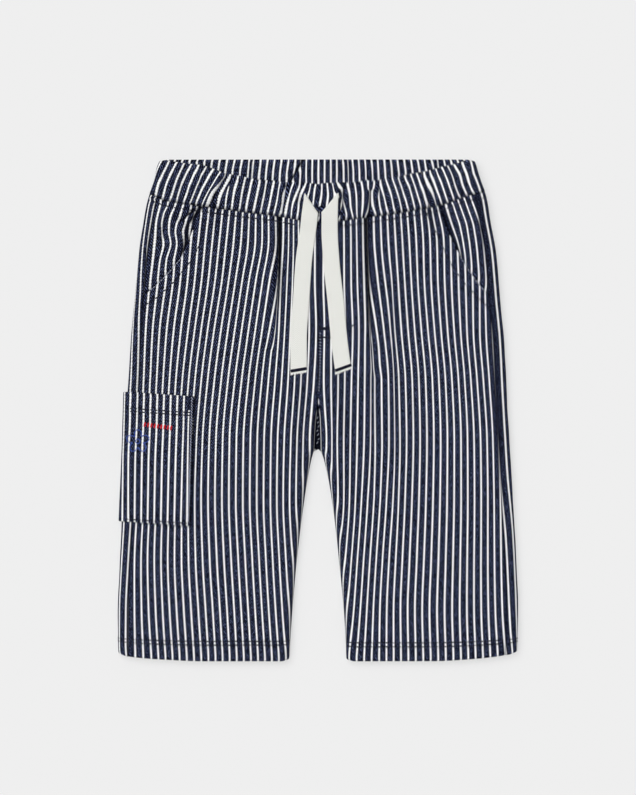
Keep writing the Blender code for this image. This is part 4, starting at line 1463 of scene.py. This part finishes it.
TWILL = striped_twill("striped_twill", STRIPE_HALF)
FULL_TWILL = striped_twill("striped_twill_full", FULL_STRIPE_HALF)
TAPE = cotton_tape()
NAVY_THREAD = thread("navy_thread", linear(11, 14, 38))
BLUE_THREAD = thread("blue_thread", linear(66, 96, 188))
RED_THREAD = thread("red_thread", linear(226, 30, 44))
WHITE_THREAD = thread("white_thread", linear(255, 255, 252), 0.95)
GREY_THREAD = thread("grey_thread", linear(200, 204, 220), 0.8)


# ---- Floor, light and camera ----

def floor():
    """A plain floor, mostly at one even level to the camera, so that its shadows stay soft."""
    mesh = bpy.data.meshes.new("floor")
    corners = [(-1, -1), (1, -1), (1, 1), (-1, 1)]
    mesh.from_pydata([(x * FLOOR_SIZE, y * FLOOR_SIZE, 0.0) for x, y in corners], [], [(0, 1, 2, 3)])
    made = bpy.data.objects.new("floor", mesh)
    bpy.context.scene.collection.objects.link(made)
    paint = bpy.data.materials.new("floor")
    paint.use_nodes = True
    nodes = Nodes(paint.node_tree)
    nodes.tree.nodes.remove(nodes.tree.nodes["Principled BSDF"])
    share = nodes.maths("MULTIPLY", nodes.seen(), 1.0 - FLOOR_SHADOW)
    lit = nodes.add("BsdfDiffuse", {"Color": FLOOR_SHADE})
    even = nodes.add("Emission", {"Color": FLOOR_SHADE})
    both = nodes.add("MixShader", {0: share, 1: lit, 2: even})
    nodes.put(nodes.tree.nodes["Material Output"].inputs["Surface"], both)
    mesh.materials.append(paint)


def lights():
    """An even pale sky, and one soft sun from the upper left."""
    world = bpy.data.worlds.new("studio")
    bpy.context.scene.world = world
    world.use_nodes = True
    nodes = Nodes(world.node_tree)
    sky = nodes.tree.nodes["Background"].inputs
    sky["Color"].default_value = (1.0, 1.0, 1.0, 1.0)
    level = nodes.maths("MULTIPLY_ADD", nodes.seen(), FLOOR_SHADE[0] - SKY, SKY)
    nodes.put(sky["Strength"], level)
    lamp = bpy.data.lights.new("key", "SUN")
    lamp.energy = SUN
    lamp.angle = math.radians(SUN_ANGLE)
    key = bpy.data.objects.new("key", lamp)
    key.location = SUN_FROM
    key.rotation_mode = "QUATERNION"
    key.rotation_quaternion = key.location.to_track_quat("Z", "Y")
    bpy.context.scene.collection.objects.link(key)


def camera():
    """It looks straight down, from the middle of the photograph's view."""
    made = bpy.data.cameras.new("camera")
    made.sensor_width = SENSOR
    made.lens = SENSOR * CAMERA_UP / VIEW_HEIGHT
    made.clip_end = 20.0
    eye = bpy.data.objects.new("camera", made)
    eye.location = (VIEW_MIDDLE[0], VIEW_MIDDLE[1], VIEW_MIDDLE[2] + CAMERA_UP)
    bpy.context.scene.collection.objects.link(eye)
    bpy.context.scene.camera = eye


# ---- Making: the camera and the two cords first ----

camera()
for tape in TAPES:
    made = shell("tape_" + tape.side, tape_cloth(tape), TAPE_THICK, TAPE, rim_steps=3)
    finish_piece(made, "cotton_tape", "drawstring_" + tape.side)
    trim = [fray(tape), end_bar(tape)]
    route = tape_path(tape)
    length = float(run_along(np.array(route))[-1])
    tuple(route[0])

fronts = {side: front_cloth(side) for side in SIDES}
backs = {side: back_cloth(side) for side in SIDES}
cloths = []
for side in SIDES:
    word = SIDE_NAME[side]
    for kind, cloth, node in (("front", fronts[side], "front_panel_" + word),
                              ("hip", hip_cloth(side), "hip_pocket_" + word),
                              ("back", backs[side], "back_panel_" + word)):
        cloths.append(sheet(f"{kind}_cloth_{word}", cloth, CLOTH, TWILL, node, kind))
for part, face, creases, stripes in (("front", 1, BAND_CREASES, BAND_STRIPES),
                                     ("back", -1, BACK_BAND_CREASES, BACK_BAND_STRIPES)):
    cloth = band_cloth(face, creases, stripes, BAND_FLATS[part])
    cloths.append(sheet("waistband_cloth_" + part, cloth, BAND_THICK, FULL_TWILL, "waistband_" + part,
                        "waistband", "gathered", rim_steps=6, rim_round=1.0))
cloths.append(sheet("cargo_cloth", cargo_cloth(), CLOTH, FULL_TWILL, "cargo_pocket", "cargo"))
ground = Ground(cloths)

inside_seam()
sewn("inside_threads", inside_threads(), GREY_THREAD, **TICK, radius=0.2)
ground.sew("waist_stitches", waist_rows(), NAVY_THREAD)
# The slanted pockets' edges get a painted highlight, laid as a pale thread
for side in SIDES:
    ground.sew("pocket_edge_highlight_" + SIDE_NAME[side], pocket_edge_highlight(side), GREY_THREAD, length=2.4,
               share=0.8, radius=0.24, lift=0.0)
for side in SIDES:
    word = SIDE_NAME[side]
    ground.sew("slant_stitches_" + word, [SLANT_STITCHES[side]], NAVY_THREAD, smoothed=True,
               length=2.6)
    for part, cloth in (("front", fronts[side]), ("back", backs[side])):
        sewn(f"hem_stitches_{part}_{word}", hem_paths(cloth, HEM_STITCHES[side]), NAVY_THREAD,
             share=0.97, radius=0.52)
ground.sew("cargo_stitches", cargo_rows(), NAVY_THREAD)
ground.sew("cargo_edge", cargo_edge(), GREY_THREAD, **TICK, radius=0.24, lift=0.1)
ground.sew("centre_ticks", centre_ticks(), GREY_THREAD, **TICK, radius=0.22, lift=0.1)
ground.sew("fly_tack", fly_tack(), NAVY_THREAD, **TICK, radius=0.36, lift=0.5)
ground.sew("fly_line", fly_line(), NAVY_THREAD, **TICK, radius=0.4, lift=0.5)
ground.sew("fly_curve", fly_curve(), NAVY_THREAD, length=3.0, share=0.95)
ground.sew("flower", flower(), BLUE_THREAD, spacing=0.4, length=1.6, share=0.9, radius=0.42,
           lift=0.1)
ground.sew("red_row", red_row(), RED_THREAD, spacing=0.4, **TICK, radius=0.72, lift=0.2)

floor()
lights()
bpy.context.scene.view_settings.view_transform = "Standard"
